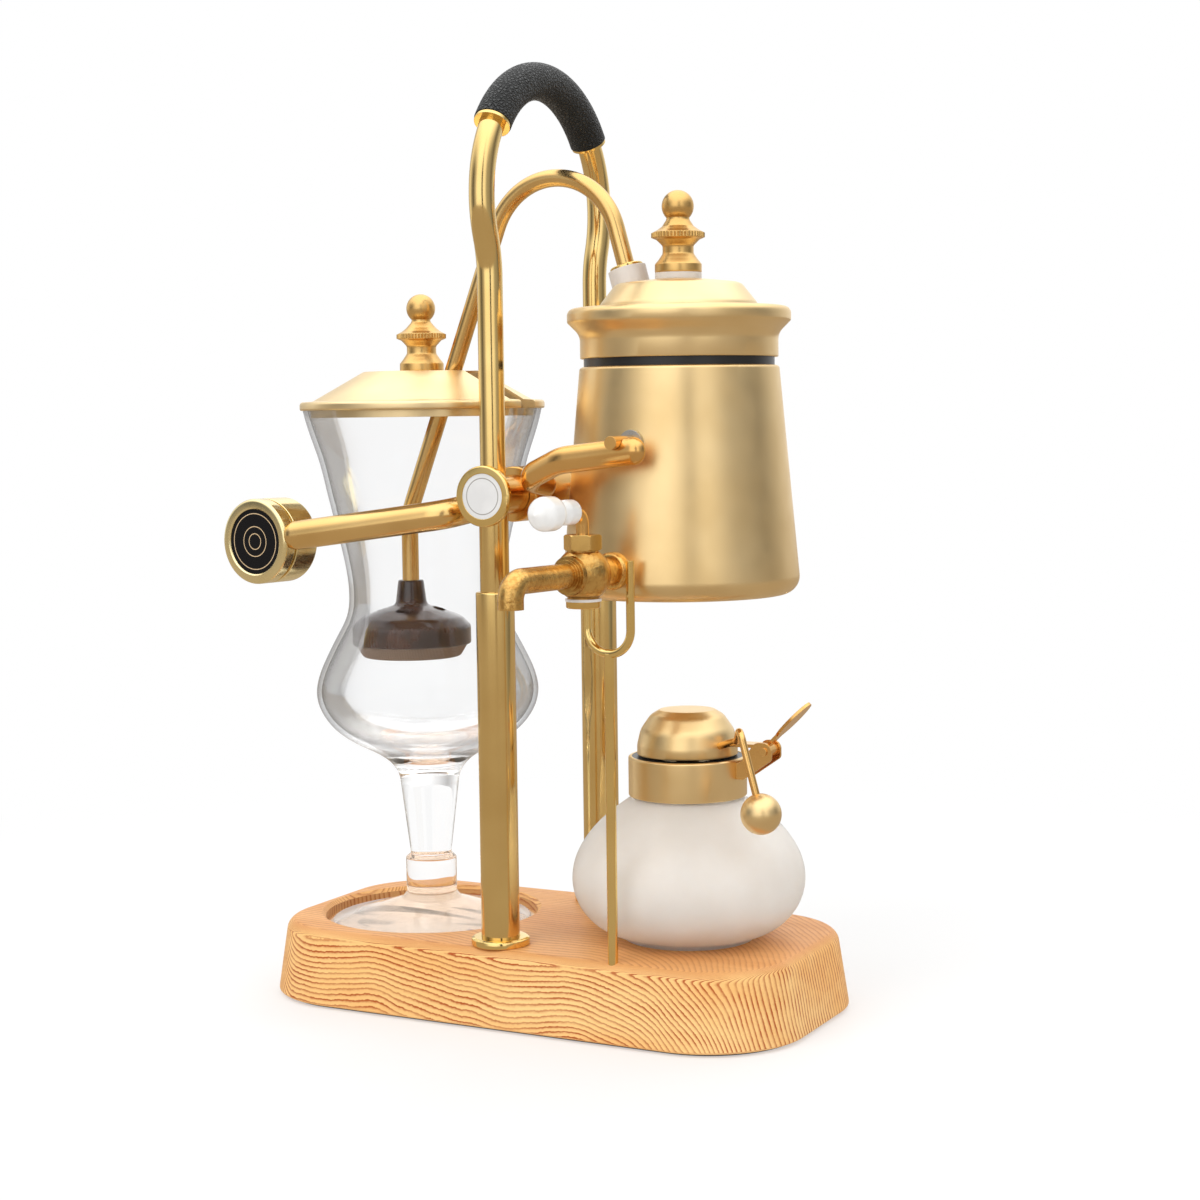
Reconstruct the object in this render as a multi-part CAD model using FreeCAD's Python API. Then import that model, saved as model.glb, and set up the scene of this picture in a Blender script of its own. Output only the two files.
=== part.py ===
"""Balance siphon coffee maker: base, lifting frame, tilting beam, boiler, goblet and spirit burner.

Millimetres, +Z up.  The origin is the centre of the rubber sheet's underside, on the table.
+X points from the goblet to the boiler and -Y is the side the tap faces.
"""

import FreeCAD, Part
import math
import os

os.makedirs("parts", exist_ok=True)

# ---- overall size ----
TOTAL_HEIGHT = 380.0
BASE_LENGTH = 235.0
BASE_WIDTH = 120.0
BASE_TOP = 31.0
SHEET_THICKNESS = 1.0
BASE_CORNER = 40.0
BASE_SIDE_SLOPE = 4.5
BASE_EDGE_ROUND = 5.0
BASE_FOOT_ROUND = 1.0
RECESS_RADIUS = 45.0
RECESS_DEPTH = 6.5

# ---- where the main axes stand ----
PORTAL_X = -2.0
COLUMN_Y = 43.5
GOBLET_X = PORTAL_X - 59.0
BOILER_X = PORTAL_X + 60.0
BURNER_X = PORTAL_X + 62.0
FILTER_X = PORTAL_X - 66.5
PIVOT_Z = 208.5
TRUNNION_Z = 229.0

# ---- lifting frame ----
COLUMN_RADIUS = 5.75
COLUMN_WALL = 1.0
SLEEVE_RADIUS = 7.6
SLEEVE_TOP = 171.0
FLANGE_RADIUS = 11.6
FLANGE_HEIGHT = 3.2
ARCH_TUBE_RADIUS = 5.0
GRIP_RADIUS = 7.5
CROWN_RADIUS = 48.6
CROWN_CENTRE_Z = TOTAL_HEIGHT - GRIP_RADIUS - CROWN_RADIUS
SHOULDER_RADIUS = 45.0
GRIP_HALF_ANGLE = 53.8
HOUSING_RADIUS = 7.8
HOUSING_INNER_Y = 29.0
HOUSING_OUTER_Y = 49.3
RING_RADIUS = 11.9
RING_THICKNESS = 3.0
INLAY_RADIUS = 8.85
AXLE_RADIUS = 4.0
BUSH_RADIUS = 5.6

# ---- beam ----
CROSS_TUBE_RADIUS = 11.0
CROSS_TUBE_HALF = 28.6
ARM_RADIUS = 5.85
TINE_HALF_HEIGHT = 5.25
TINE_HALF_WIDTH = 4.0
TINE_Y = 53.0
WEIGHT_RADIUS = 17.4
WEIGHT_LENGTH = 20.0
WEIGHT_CAP_LENGTH = 6.0
WEIGHT_GROOVE = 1.2
WEIGHT_PLATE_RADIUS = 13.3
WEIGHT_TURN = 7.0
WEIGHT_CENTRE = (PORTAL_X - 105.0, -46.0, 189.6)

# ---- boiler ----
POT_BOTTOM = 168.3
POT_TOP = 258.0
POT_RADIUS = 47.4
POT_TOP_RADIUS = 39.2
POT_WALL = 0.8
NECK_BOTTOM = 261.2
NECK_RADIUS = 38.9
RIM_RADIUS = 43.9
RIM_TOP = 280.8
LID_TOP = 291.9
PIN_RADIUS = 2.5
PIN_END_Y = 60.0

# ---- siphon tube ----
SIPHON_RADIUS = 3.5
SIPHON_WALL = 0.6
SIPHON_APEX = (PORTAL_X + 9.4, 396.6)
SIPHON_BEND = 28.7
SIPHON_LEAN = 15.7
SIPHON_FOOT_Z = 173.0
SIPHON_KNEE_Z = 199.0
FILTER_RADIUS = 25.0

# ---- tap ----
TAP_Z = 180.4
TAP_HEADING = 262.0
TAP_PIPE_RADIUS = 5.15
TAP_BORE = 2.6
TAP_BALL_RADIUS = 10.4
TAP_BALL_HALF_HEIGHT = 9.0
TAP_SPOUT_RADIUS = 4.75
TAP_BALL_REACH = 66.0
TAP_ELBOW_REACH = 110.0
TAP_SPOUT_DROP = 9.8
TAP_STEM_RADIUS = 2.5
TAP_LEVER_RISE = 23.0

# ---- guide fork ----
GUIDE_REACH = 52.5
GUIDE_ROD = 1.65
GUIDE_HALF_GAP = 10.0
GUIDE_SHIFT = 1.7
GUIDE_TOP = 185.0
GUIDE_BEND_Z = 149.5
GUIDE_STEM = 2.0

# ---- goblet ----
GOBLET_FLOOR = BASE_TOP - RECESS_DEPTH
GOBLET_TOP = 242.5
GOBLET_WALL = 2.0
FOOT_RADIUS = 42.0
GOBLET_LID_RADIUS = 51.0
GOBLET_LID_TOP = 258.3
LID_SLOT_HALF = 5.6

# ---- spirit burner ----
COLLAR_RADIUS = 23.6
COLLAR_BOTTOM = 88.0
COLLAR_TOP = 104.0
SNUFFER_RADIUS = 20.0
HINGE_REACH = 34.9
HINGE_Z = 108.0
HINGE_PIN_RADIUS = 1.0
WEIGHT_BALL_RADIUS = 7.8

FIT = 0.02      # gap left between pieces that are fixed to each other
RUNNING = 0.05  # radial clearance between a turning piece and its bore
SHEET_MARGIN = 3.0

X_AXIS = FreeCAD.Vector(1, 0, 0)
Y_AXIS = FreeCAD.Vector(0, 1, 0)
Z_AXIS = FreeCAD.Vector(0, 0, 1)


# ---- building blocks ----

def vec(x, y, z):
    return FreeCAD.Vector(x, y, z)


def save(name, shape):
    shape.exportStep("parts/" + name + ".step")


def cylinder(radius, height, foot, axis=Z_AXIS):
    return Part.makeCylinder(radius, height, foot, axis)


def ring(outer, inner, height, foot, axis=Z_AXIS):
    return cylinder(outer, height, foot, axis).cut(cylinder(inner, height, foot, axis))


def compound(shapes):
    return Part.makeCompound(shapes)


def rounded_edges(corners, closed):
    """Straight edges through (point, rounding radius) corners, with an arc at every rounded corner."""
    count = len(corners)
    starts = []
    ends = []
    arcs = []
    for index in range(count):
        point, radius = corners[index]
        free_end = not closed and index in (0, count - 1)
        if radius <= 0 or free_end:
            starts.append(point)
            ends.append(point)
            arcs.append(None)
            continue
        back = corners[index - 1][0].sub(point).normalize()
        ahead = corners[(index + 1) % count][0].sub(point).normalize()
        half = back.getAngle(ahead) / 2
        reach = radius / math.tan(half)
        middle = back.add(ahead).normalize().multiply(radius / math.sin(half) - radius)
        first = point.add(FreeCAD.Vector(back).multiply(reach))
        last = point.add(FreeCAD.Vector(ahead).multiply(reach))
        starts.append(first)
        ends.append(last)
        arcs.append(Part.Arc(first, point.add(middle), last).toShape())
    edges = []
    for index in range(count):
        if arcs[index]:
            edges.append(arcs[index])
        following = (index + 1) % count
        if following == 0 and not closed:
            break
        if ends[index].distanceToPoint(starts[following]) > 1e-6:
            edges.append(Part.makeLine(ends[index], starts[following]))
    return edges


def turned(profile, x, y=0.0):
    """Solid of revolution about the vertical through (x, y) from (radius, z) or (radius, z, rounding)."""
    corners = []
    for entry in profile:
        rounding = entry[2] if len(entry) > 2 else 0.0
        corners.append((vec(entry[0], 0, entry[1]), rounding))
    face = Part.Face(Part.Wire(rounded_edges(corners, True)))
    solid = face.revolve(vec(0, 0, 0), Z_AXIS, 360)
    solid.translate(vec(x, y, 0))
    return solid


def path(points):
    """Open wire through (x, y, z) or (x, y, z, bend radius) points."""
    corners = []
    for entry in points:
        bend = entry[3] if len(entry) > 3 else 0.0
        corners.append((vec(entry[0], entry[1], entry[2]), bend))
    return Part.Wire(rounded_edges(corners, False))


def swept(wire, radius):
    """Round bar along a wire."""
    first = wire.OrderedEdges[0]
    start = first.valueAt(first.FirstParameter)
    heading = first.tangentAt(first.FirstParameter)
    if first.Orientation == "Reversed":
        start = first.valueAt(first.LastParameter)
        heading = first.tangentAt(first.LastParameter).multiply(-1)
    circle = Part.Wire(Part.makeCircle(radius, start, heading))
    return wire.makePipeShell([circle], True, True)


def rod(points, radius):
    return swept(path(points), radius)


def smooth_curve(points):
    """Smooth curve through (radius, z) points in the XZ plane."""
    curve = Part.BSplineCurve()
    curve.interpolate([vec(radius, 0, z) for radius, z in points])
    return curve


def inside_points(curve, points, wall):
    """The same points moved square to the curve, toward the axis, by the wall thickness."""
    moved = []
    for radius, z in points:
        here = vec(radius, 0, z)
        tangent = curve.tangent(curve.parameter(here))[0]
        normal = vec(-tangent.z, 0, tangent.x)
        moved.append((radius + wall * normal.x, z + wall * normal.z))
    return moved


def turned_edges(edges, x, y=0.0):
    """Solid of revolution from edges that close a face in the XZ plane."""
    face = Part.Face(Part.Wire(Part.__sortEdges__(edges)))
    solid = face.revolve(vec(0, 0, 0), Z_AXIS, 360)
    solid.translate(vec(x, y, 0))
    return solid


def polyline(points):
    """Straight edges through (radius, z) points in the XZ plane."""
    edges = []
    for start, end in zip(points[:-1], points[1:]):
        edges.append(Part.makeLine(vec(start[0], 0, start[1]), vec(end[0], 0, end[1])))
    return edges


def rounded_rectangle(length, width, corner, z):
    half_x = length / 2
    half_y = width / 2
    corners = [
        (vec(half_x, -half_y, z), corner),
        (vec(half_x, half_y, z), corner),
        (vec(-half_x, half_y, z), corner),
        (vec(-half_x, -half_y, z), corner),
    ]
    return Part.Wire(rounded_edges(corners, True))


def hexagon(corner_radius, foot, height):
    """Six-sided prism standing on foot, with two of its corners toward +X and -X."""
    corners = []
    for step in range(7):
        angle = math.radians(60 * step)
        corner = vec(corner_radius * math.cos(angle), corner_radius * math.sin(angle), 0)
        corners.append(foot.add(corner))
    return Part.Face(Part.makePolygon(corners)).extrude(vec(0, 0, height))


def front_and_rear(front):
    """A piece on the -Y side and its mirror image on the +Y side."""
    return front, front.mirror(vec(0, 0, 0), Y_AXIS)


# ---- wooden base: its foot is drawn larger by what the rounding of the bottom edge takes off ----
side_slope = math.atan2(BASE_SIDE_SLOPE, BASE_TOP - SHEET_THICKNESS)
foot_extra = BASE_FOOT_ROUND * ((1 + math.sin(side_slope)) / math.cos(side_slope) - 1)
wood = Part.makeLoft(
    [
        rounded_rectangle(
            BASE_LENGTH + 2 * foot_extra,
            BASE_WIDTH + 2 * foot_extra,
            BASE_CORNER + foot_extra,
            SHEET_THICKNESS,
        ),
        rounded_rectangle(
            BASE_LENGTH - 2 * BASE_SIDE_SLOPE,
            BASE_WIDTH - 2 * BASE_SIDE_SLOPE,
            BASE_CORNER - BASE_SIDE_SLOPE,
            BASE_TOP,
        ),
    ],
    True,
    True,
)
top_edges = [edge for edge in wood.Edges if abs(edge.BoundBox.ZMin - BASE_TOP) < 1e-6]
wood = wood.makeFillet(BASE_EDGE_ROUND, top_edges)
bottom_edges = [edge for edge in wood.Edges if abs(edge.BoundBox.ZMax - SHEET_THICKNESS) < 1e-6]
wood = wood.makeFillet(BASE_FOOT_ROUND, bottom_edges)
RECESS_CHAMFER = 1.5
recess = turned(
    [
        (0, GOBLET_FLOOR),
        (RECESS_RADIUS, GOBLET_FLOOR, 2.0),
        (RECESS_RADIUS, BASE_TOP - RECESS_CHAMFER),
        (RECESS_RADIUS + RECESS_CHAMFER, BASE_TOP),
        (RECESS_RADIUS + RECESS_CHAMFER, BASE_TOP + 5),
        (0, BASE_TOP + 5),
    ],
    GOBLET_X,
)
wood = wood.cut(recess)

BOLT_SHANK = 2.45
BOLT_HEAD_RADIUS = 4.6
BOLT_HEAD_HEIGHT = 4.0
BOLT_SEAT_Z = 11.0
BOLT_SOCKET_RADIUS = 2.3
BOLT_SOCKET_DEPTH = 2.4
BOLT_CLEARANCE = 0.25
PLUG_TOP = 54.0
for side in (-1, 1):
    foot = vec(PORTAL_X, side * COLUMN_Y, SHEET_THICKNESS)
    wood = wood.cut(cylinder(BOLT_SHANK + BOLT_CLEARANCE, BASE_TOP, foot))
    wood = wood.cut(cylinder(BOLT_HEAD_RADIUS + 1.0, BOLT_SEAT_Z - SHEET_THICKNESS, foot))

heading = math.radians(TAP_HEADING)
outward = vec(math.cos(heading), math.sin(heading), 0)
guide_foot = vec(BOILER_X, 0, 0).add(FreeCAD.Vector(outward).multiply(GUIDE_REACH))
guide_foot = guide_foot.add(vec(GUIDE_SHIFT, 0, 0))
GUIDE_SINK = 14.0
guide_hole_foot = vec(guide_foot.x, guide_foot.y, BASE_TOP - GUIDE_SINK)
wood = wood.cut(cylinder(GUIDE_STEM + FIT, GUIDE_SINK + 10, guide_hole_foot))
save("wooden_base", wood)

sheet = Part.Face(
    rounded_rectangle(
        BASE_LENGTH - 2 * SHEET_MARGIN,
        BASE_WIDTH - 2 * SHEET_MARGIN,
        BASE_CORNER - SHEET_MARGIN,
        0,
    )
).extrude(vec(0, 0, SHEET_THICKNESS))
save("anti_slip_sheet", sheet)

# ---- columns ----
flanges = []
sleeves = []
plugs = []
bolts = []
for side in (-1, 1):
    y = side * COLUMN_Y
    flanges.append(
        turned(
            [
                (SLEEVE_RADIUS + FIT, BASE_TOP),
                (FLANGE_RADIUS, BASE_TOP, 0.5),
                (FLANGE_RADIUS, BASE_TOP + FLANGE_HEIGHT - 0.6, 0.4),
                (FLANGE_RADIUS - 1.1, BASE_TOP + FLANGE_HEIGHT, 0.3),
                (SLEEVE_RADIUS + FIT, BASE_TOP + FLANGE_HEIGHT),
            ],
            PORTAL_X,
            y,
        )
    )
    sleeves.append(
        turned(
            [
                (COLUMN_RADIUS + FIT, BASE_TOP),
                (SLEEVE_RADIUS, BASE_TOP),
                (SLEEVE_RADIUS, SLEEVE_TOP, 0.8),
                (COLUMN_RADIUS + FIT, SLEEVE_TOP),
            ],
            PORTAL_X,
            y,
        )
    )
    plugs.append(
        ring(
            COLUMN_RADIUS - COLUMN_WALL - FIT,
            BOLT_SHANK + FIT,
            PLUG_TOP - BASE_TOP,
            vec(PORTAL_X, y, BASE_TOP),
        )
    )
    shank = cylinder(BOLT_SHANK, PLUG_TOP - BOLT_SEAT_Z - 4, vec(PORTAL_X, y, BOLT_SEAT_Z))
    head_foot = vec(PORTAL_X, y, BOLT_SEAT_Z - BOLT_HEAD_HEIGHT)
    head = cylinder(BOLT_HEAD_RADIUS, BOLT_HEAD_HEIGHT, head_foot)
    socket = hexagon(BOLT_SOCKET_RADIUS, head_foot, BOLT_SOCKET_DEPTH)
    bolts.append(shank.fuse(head).cut(socket))

save("column_flanges", compound(flanges))
save("column_sleeves", compound(sleeves))
save("column_plugs", compound(plugs))
save("column_bolts", compound(bolts))

housing_space = cylinder(
    HOUSING_RADIUS + FIT,
    2 * COLUMN_Y + 40,
    vec(PORTAL_X, -COLUMN_Y - 20, PIVOT_Z),
    Y_AXIS,
)
column_front = ring(
    COLUMN_RADIUS,
    COLUMN_RADIUS - COLUMN_WALL,
    PIVOT_Z - BASE_TOP,
    vec(PORTAL_X, -COLUMN_Y, BASE_TOP),
).cut(housing_space)
column_front, column_rear = front_and_rear(column_front)
save("column_tube_front", column_front)
save("column_tube_rear", column_rear)

# ---- arch: straight legs, a shallow shoulder each side and a round crown ----
cos_join = (COLUMN_Y + SHOULDER_RADIUS) / (CROWN_RADIUS + SHOULDER_RADIUS)
join = math.acos(cos_join)


def on_crown(angle):
    """Point on the crown's centre line, angle in radians up from +Y."""
    return vec(
        PORTAL_X,
        CROWN_RADIUS * math.cos(angle),
        CROWN_CENTRE_Z + CROWN_RADIUS * math.sin(angle),
    )


def on_shoulder(side, angle):
    """Point on a shoulder's centre line, where zero is the top of the straight leg."""
    shoulder_z = on_crown(-join).z - SHOULDER_RADIUS * math.sin(join)
    y = COLUMN_Y + SHOULDER_RADIUS * (1 - math.cos(angle))
    return vec(PORTAL_X, side * y, shoulder_z + SHOULDER_RADIUS * math.sin(angle))


def shoulder_arc(side):
    arc = Part.Arc(on_shoulder(side, 0), on_shoulder(side, join / 2), on_shoulder(side, join))
    return arc.toShape()


crown = Part.Arc(on_crown(math.pi + join), on_crown(math.pi / 2), on_crown(-join)).toShape()
arch_line = Part.Wire(
    Part.__sortEdges__(
        [
            Part.makeLine(vec(PORTAL_X, -COLUMN_Y, PIVOT_Z), on_shoulder(-1, 0)),
            shoulder_arc(-1),
            crown,
            shoulder_arc(1),
            Part.makeLine(on_shoulder(1, 0), vec(PORTAL_X, COLUMN_Y, PIVOT_Z)),
        ]
    )
)
arch = swept(arch_line, ARCH_TUBE_RADIUS)
arch = arch.cut(swept(arch_line, ARCH_TUBE_RADIUS - COLUMN_WALL)).cut(housing_space)
save("arch_tube", arch)


def crown_piece(from_degrees, to_degrees, outer, inner):
    """Length of tube around the crown, angles in degrees either side of the top."""
    first = math.radians(90 + from_degrees)
    last = math.radians(90 + to_degrees)
    arc = Part.Arc(on_crown(first), on_crown((first + last) / 2), on_crown(last))
    line = Part.Wire(arc.toShape())
    return swept(line, outer).cut(swept(line, inner))


grip = crown_piece(-GRIP_HALF_ANGLE, GRIP_HALF_ANGLE, GRIP_RADIUS, ARCH_TUBE_RADIUS + FIT)
save("handle_grip", grip)
FERRULE_RADIUS = GRIP_RADIUS - 0.3
ferrule_end = GRIP_HALF_ANGLE + 1.6
ferrules = [
    crown_piece(GRIP_HALF_ANGLE, ferrule_end, FERRULE_RADIUS, ARCH_TUBE_RADIUS + FIT),
    crown_piece(-ferrule_end, -GRIP_HALF_ANGLE, FERRULE_RADIUS, ARCH_TUBE_RADIUS + FIT),
]
save("handle_ferrules", compound(ferrules))

# ---- pivot housings: cross fittings that join column and arch and carry the axle ----
housing = cylinder(
    HOUSING_RADIUS,
    HOUSING_OUTER_Y - HOUSING_INNER_Y,
    vec(PORTAL_X, -HOUSING_OUTER_Y, PIVOT_Z),
    Y_AXIS,
)
housing = housing.cut(
    cylinder(BUSH_RADIUS + FIT, 40, vec(PORTAL_X, -HOUSING_OUTER_Y - 5, PIVOT_Z), Y_AXIS)
)
housing_front, housing_rear = front_and_rear(housing)
save("pivot_housing_front", housing_front)
save("pivot_housing_rear", housing_rear)

BUSH_LENGTH = 15.0
bush = ring(
    BUSH_RADIUS,
    AXLE_RADIUS + RUNNING,
    BUSH_LENGTH,
    vec(PORTAL_X, -HOUSING_INNER_Y - BUSH_LENGTH, PIVOT_Z),
    Y_AXIS,
)
save("axle_bushes", compound(front_and_rear(bush)))

RING_FACE_Y = -HOUSING_OUTER_Y - RING_THICKNESS
INLAY_DEPTH = 1.2
cap_ring = cylinder(RING_RADIUS, RING_THICKNESS, vec(PORTAL_X, RING_FACE_Y, PIVOT_Z), Y_AXIS)
rim_edges = [edge for edge in cap_ring.Edges if edge.Length > 10 and edge.BoundBox.YLength < 1e-6]
cap_ring = cap_ring.makeFillet(0.9, rim_edges)
cap_ring = cap_ring.cut(
    cylinder(INLAY_RADIUS + FIT, INLAY_DEPTH, vec(PORTAL_X, RING_FACE_Y, PIVOT_Z), Y_AXIS)
)
cap_ring = cap_ring.fuse(
    cylinder(BUSH_RADIUS - 0.1, 1.6, vec(PORTAL_X, -HOUSING_OUTER_Y, PIVOT_Z), Y_AXIS)
)
save("pivot_cap_rings", compound(front_and_rear(cap_ring)))

inlay = cylinder(
    INLAY_RADIUS,
    INLAY_DEPTH - 0.2,
    vec(PORTAL_X, RING_FACE_Y + 0.2, PIVOT_Z),
    Y_AXIS,
)
save("pivot_inlays", compound(front_and_rear(inlay)))

# ---- beam: axle, cross tube, counterweight arm and the two fork tines ----
AXLE_HALF = 45.5
axle = cylinder(AXLE_RADIUS, 2 * AXLE_HALF, vec(PORTAL_X, -AXLE_HALF, PIVOT_Z), Y_AXIS)
save("axle", axle)

cross_foot = vec(PORTAL_X, -CROSS_TUBE_HALF, PIVOT_Z)
cross_tube = cylinder(CROSS_TUBE_RADIUS, 2 * CROSS_TUBE_HALF, cross_foot, Y_AXIS)
end_edges = [edge for edge in cross_tube.Edges if edge.BoundBox.YLength < 1e-6]
cross_tube = cross_tube.makeFillet(0.8, end_edges)
CROSS_END = 6.0
cross_tube = cross_tube.cut(
    cylinder(
        CROSS_TUBE_RADIUS - 1.5,
        2 * (CROSS_TUBE_HALF - CROSS_END),
        vec(PORTAL_X, -CROSS_TUBE_HALF + CROSS_END, PIVOT_Z),
        Y_AXIS,
    )
)
cross_tube = cross_tube.cut(cylinder(AXLE_RADIUS + FIT, 2 * CROSS_TUBE_HALF, cross_foot, Y_AXIS))
save("cross_tube", cross_tube)
cross_space = cylinder(CROSS_TUBE_RADIUS + FIT, 2 * CROSS_TUBE_HALF, cross_foot, Y_AXIS)

ARM_TIP = (PORTAL_X - 87.0, -52.5, 192.3)
ARM_CORNER = (PORTAL_X - 22.0, -44.0, 200.9, 10)
arm = rod(
    [
        (PORTAL_X - 4, -21.5, 207.5),
        (PORTAL_X - 15.5, -21.5, 204.3, 9),
        ARM_CORNER,
        ARM_TIP,
    ],
    ARM_RADIUS,
)
arm = arm.fuse(Part.makeSphere(ARM_RADIUS, vec(*ARM_TIP))).cut(cross_space)
save("balance_arm", arm)

TINE_END = (PORTAL_X + 66, -TINE_Y, 225.8)
tine_line = path(
    [
        (PORTAL_X + 4, -21.5, 209.5),
        (PORTAL_X + 14, -21.5, 212, 9),
        (PORTAL_X + 16.5, -46, 215.4, 10),
        (PORTAL_X + 35, -TINE_Y, 222.4, 16),
        TINE_END,
    ]
)
section = Part.Ellipse(vec(0, 0, 0), TINE_HALF_HEIGHT, TINE_HALF_WIDTH).toShape()
section_wire = Part.Wire(section)
section_wire.rotate(vec(0, 0, 0), Y_AXIS, 90)
section_wire.translate(tine_line.OrderedVertexes[0].Point)
sweep = Part.BRepOffsetAPI.MakePipeShell(tine_line)
sweep.setBiNormalMode(Z_AXIS)
sweep.add(section_wire)
sweep.build()
sweep.makeSolid()
tine = sweep.shape()
end_cap = Part.makeSphere(TINE_HALF_WIDTH, vec(0, 0, 0))
stretch = FreeCAD.Matrix()
stretch.scale(1.2, 1.0, TINE_HALF_HEIGHT / TINE_HALF_WIDTH)
end_cap = end_cap.transformGeometry(stretch)
end_cap.translate(vec(*TINE_END))
NOTCH_RADIUS = PIN_RADIUS + 0.1
NOTCH_LENGTH = 2 * TINE_HALF_WIDTH + 4
notch_y = -TINE_Y - NOTCH_LENGTH / 2
notch = cylinder(NOTCH_RADIUS, NOTCH_LENGTH, vec(BOILER_X, notch_y, TRUNNION_Z), Y_AXIS)
notch_mouth = vec(BOILER_X - NOTCH_RADIUS, notch_y, TRUNNION_Z)
notch = notch.fuse(Part.makeBox(2 * NOTCH_RADIUS, NOTCH_LENGTH, 8, notch_mouth))
tine = tine.fuse(end_cap).cut(notch).cut(cross_space)
tine_front, tine_rear = front_and_rear(tine)
save("fork_tine_front", tine_front)
save("fork_tine_rear", tine_rear)


# ---- counterweight: drum, front cap and face plate, turned a little outward ----
def weight_piece(shape):
    """Places a shape made about +Z (front face at z = 0, body below) on the counterweight."""
    placed = shape.copy()
    placed.rotate(vec(0, 0, 0), X_AXIS, 90)
    placed.rotate(vec(0, 0, 0), Z_AXIS, -WEIGHT_TURN)
    turn = math.radians(WEIGHT_TURN)
    front = vec(-math.sin(turn), -math.cos(turn), 0).multiply(WEIGHT_LENGTH / 2)
    placed.translate(vec(*WEIGHT_CENTRE).add(front))
    return placed


arm_heading = vec(*ARM_CORNER[:3]).sub(vec(*ARM_TIP)).normalize()
arm_space = cylinder(ARM_RADIUS + FIT, 60, vec(*ARM_TIP), arm_heading)
tip_space = Part.makeSphere(ARM_RADIUS + FIT, vec(*ARM_TIP), arm_heading)
drum_space_foot = vec(*ARM_TIP).sub(FreeCAD.Vector(arm_heading).multiply(ARM_RADIUS))
drum_space = cylinder(ARM_RADIUS + 0.1, 70, drum_space_foot, arm_heading)
PLATE_RECESS = 2.0
PLATE_THICKNESS = 1.2
weight_cap = turned(
    [
        (0, -PLATE_RECESS),
        (WEIGHT_PLATE_RADIUS + FIT, -PLATE_RECESS),
        (WEIGHT_PLATE_RADIUS + FIT, -0.5),
        (WEIGHT_PLATE_RADIUS + 0.6, 0),
        (WEIGHT_RADIUS, 0, 1.6),
        (WEIGHT_RADIUS, -WEIGHT_CAP_LENGTH, 0.4),
        (0, -WEIGHT_CAP_LENGTH),
    ],
    0,
)
weight_drum = turned(
    [
        (0, -WEIGHT_CAP_LENGTH - FIT),
        (WEIGHT_RADIUS - 1.2, -WEIGHT_CAP_LENGTH - FIT),
        (WEIGHT_RADIUS - 1.2, -WEIGHT_CAP_LENGTH - WEIGHT_GROOVE),
        (WEIGHT_RADIUS, -WEIGHT_CAP_LENGTH - WEIGHT_GROOVE, 0.4),
        (WEIGHT_RADIUS, -WEIGHT_LENGTH, 1.6),
        (0, -WEIGHT_LENGTH),
    ],
    0,
)
weight_plate = cylinder(WEIGHT_PLATE_RADIUS, PLATE_THICKNESS, vec(0, 0, -PLATE_RECESS + FIT))
save("counterweight_cap", weight_piece(weight_cap).cut(arm_space).cut(tip_space))
save("counterweight_drum", weight_piece(weight_drum).cut(drum_space))
save("counterweight_plate", weight_piece(weight_plate).cut(arm_space).cut(tip_space))

# ---- boiler ----
pot = turned(
    [
        (0, POT_BOTTOM),
        (POT_RADIUS, POT_BOTTOM, 7.0),
        (POT_TOP_RADIUS, POT_TOP, 1.6),
        (35.0, POT_TOP),
        (35.0, POT_TOP - POT_WALL),
        (POT_TOP_RADIUS - POT_WALL, POT_TOP - POT_WALL, 0.8),
        (POT_RADIUS - POT_WALL, POT_BOTTOM + POT_WALL, 6.2),
        (0, POT_BOTTOM + POT_WALL),
    ],
    BOILER_X,
)
pot_envelope = turned(
    [
        (0, POT_BOTTOM),
        (POT_RADIUS, POT_BOTTOM, 7.0),
        (POT_TOP_RADIUS, POT_TOP, 1.6),
        (0, POT_TOP),
    ],
    BOILER_X,
)
TAP_HOLE = 3.6
tap_hole = cylinder(TAP_HOLE + FIT, 10, vec(POT_RADIUS - 5, 0, 0), X_AXIS)


def at_tap(shape):
    """Places a shape made about the origin, spout along +X, on the boiler's side."""
    placed = shape.copy()
    placed.rotate(vec(0, 0, 0), Z_AXIS, TAP_HEADING)
    placed.translate(vec(BOILER_X, 0, TAP_Z))
    return placed


save("boiler_pot", pot.cut(at_tap(tap_hole)))

rim_gasket = turned(
    [(35.5, POT_TOP), (37.4, POT_TOP), (37.4, NECK_BOTTOM), (35.5, NECK_BOTTOM)],
    BOILER_X,
)
save("rim_gasket", rim_gasket)

LID_SEAT_Z = 277.2
neck_ring = turned(
    [
        (34.8, NECK_BOTTOM),
        (NECK_RADIUS, NECK_BOTTOM, 0.4),
        (NECK_RADIUS, 270.4, 6.0),
        (RIM_RADIUS, 275.4, 1.2),
        (RIM_RADIUS, RIM_TOP, 2.8),
        (39.2, RIM_TOP, 1.2),
        (39.2, LID_SEAT_Z),
        (36.4, LID_SEAT_Z),
        (36.4, LID_SEAT_Z - POT_WALL),
        (NECK_RADIUS - POT_WALL, 272.0),
        (NECK_RADIUS - POT_WALL, NECK_BOTTOM + POT_WALL),
        (34.8, NECK_BOTTOM + POT_WALL),
    ],
    BOILER_X,
)
save("neck_ring", neck_ring)

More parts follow.
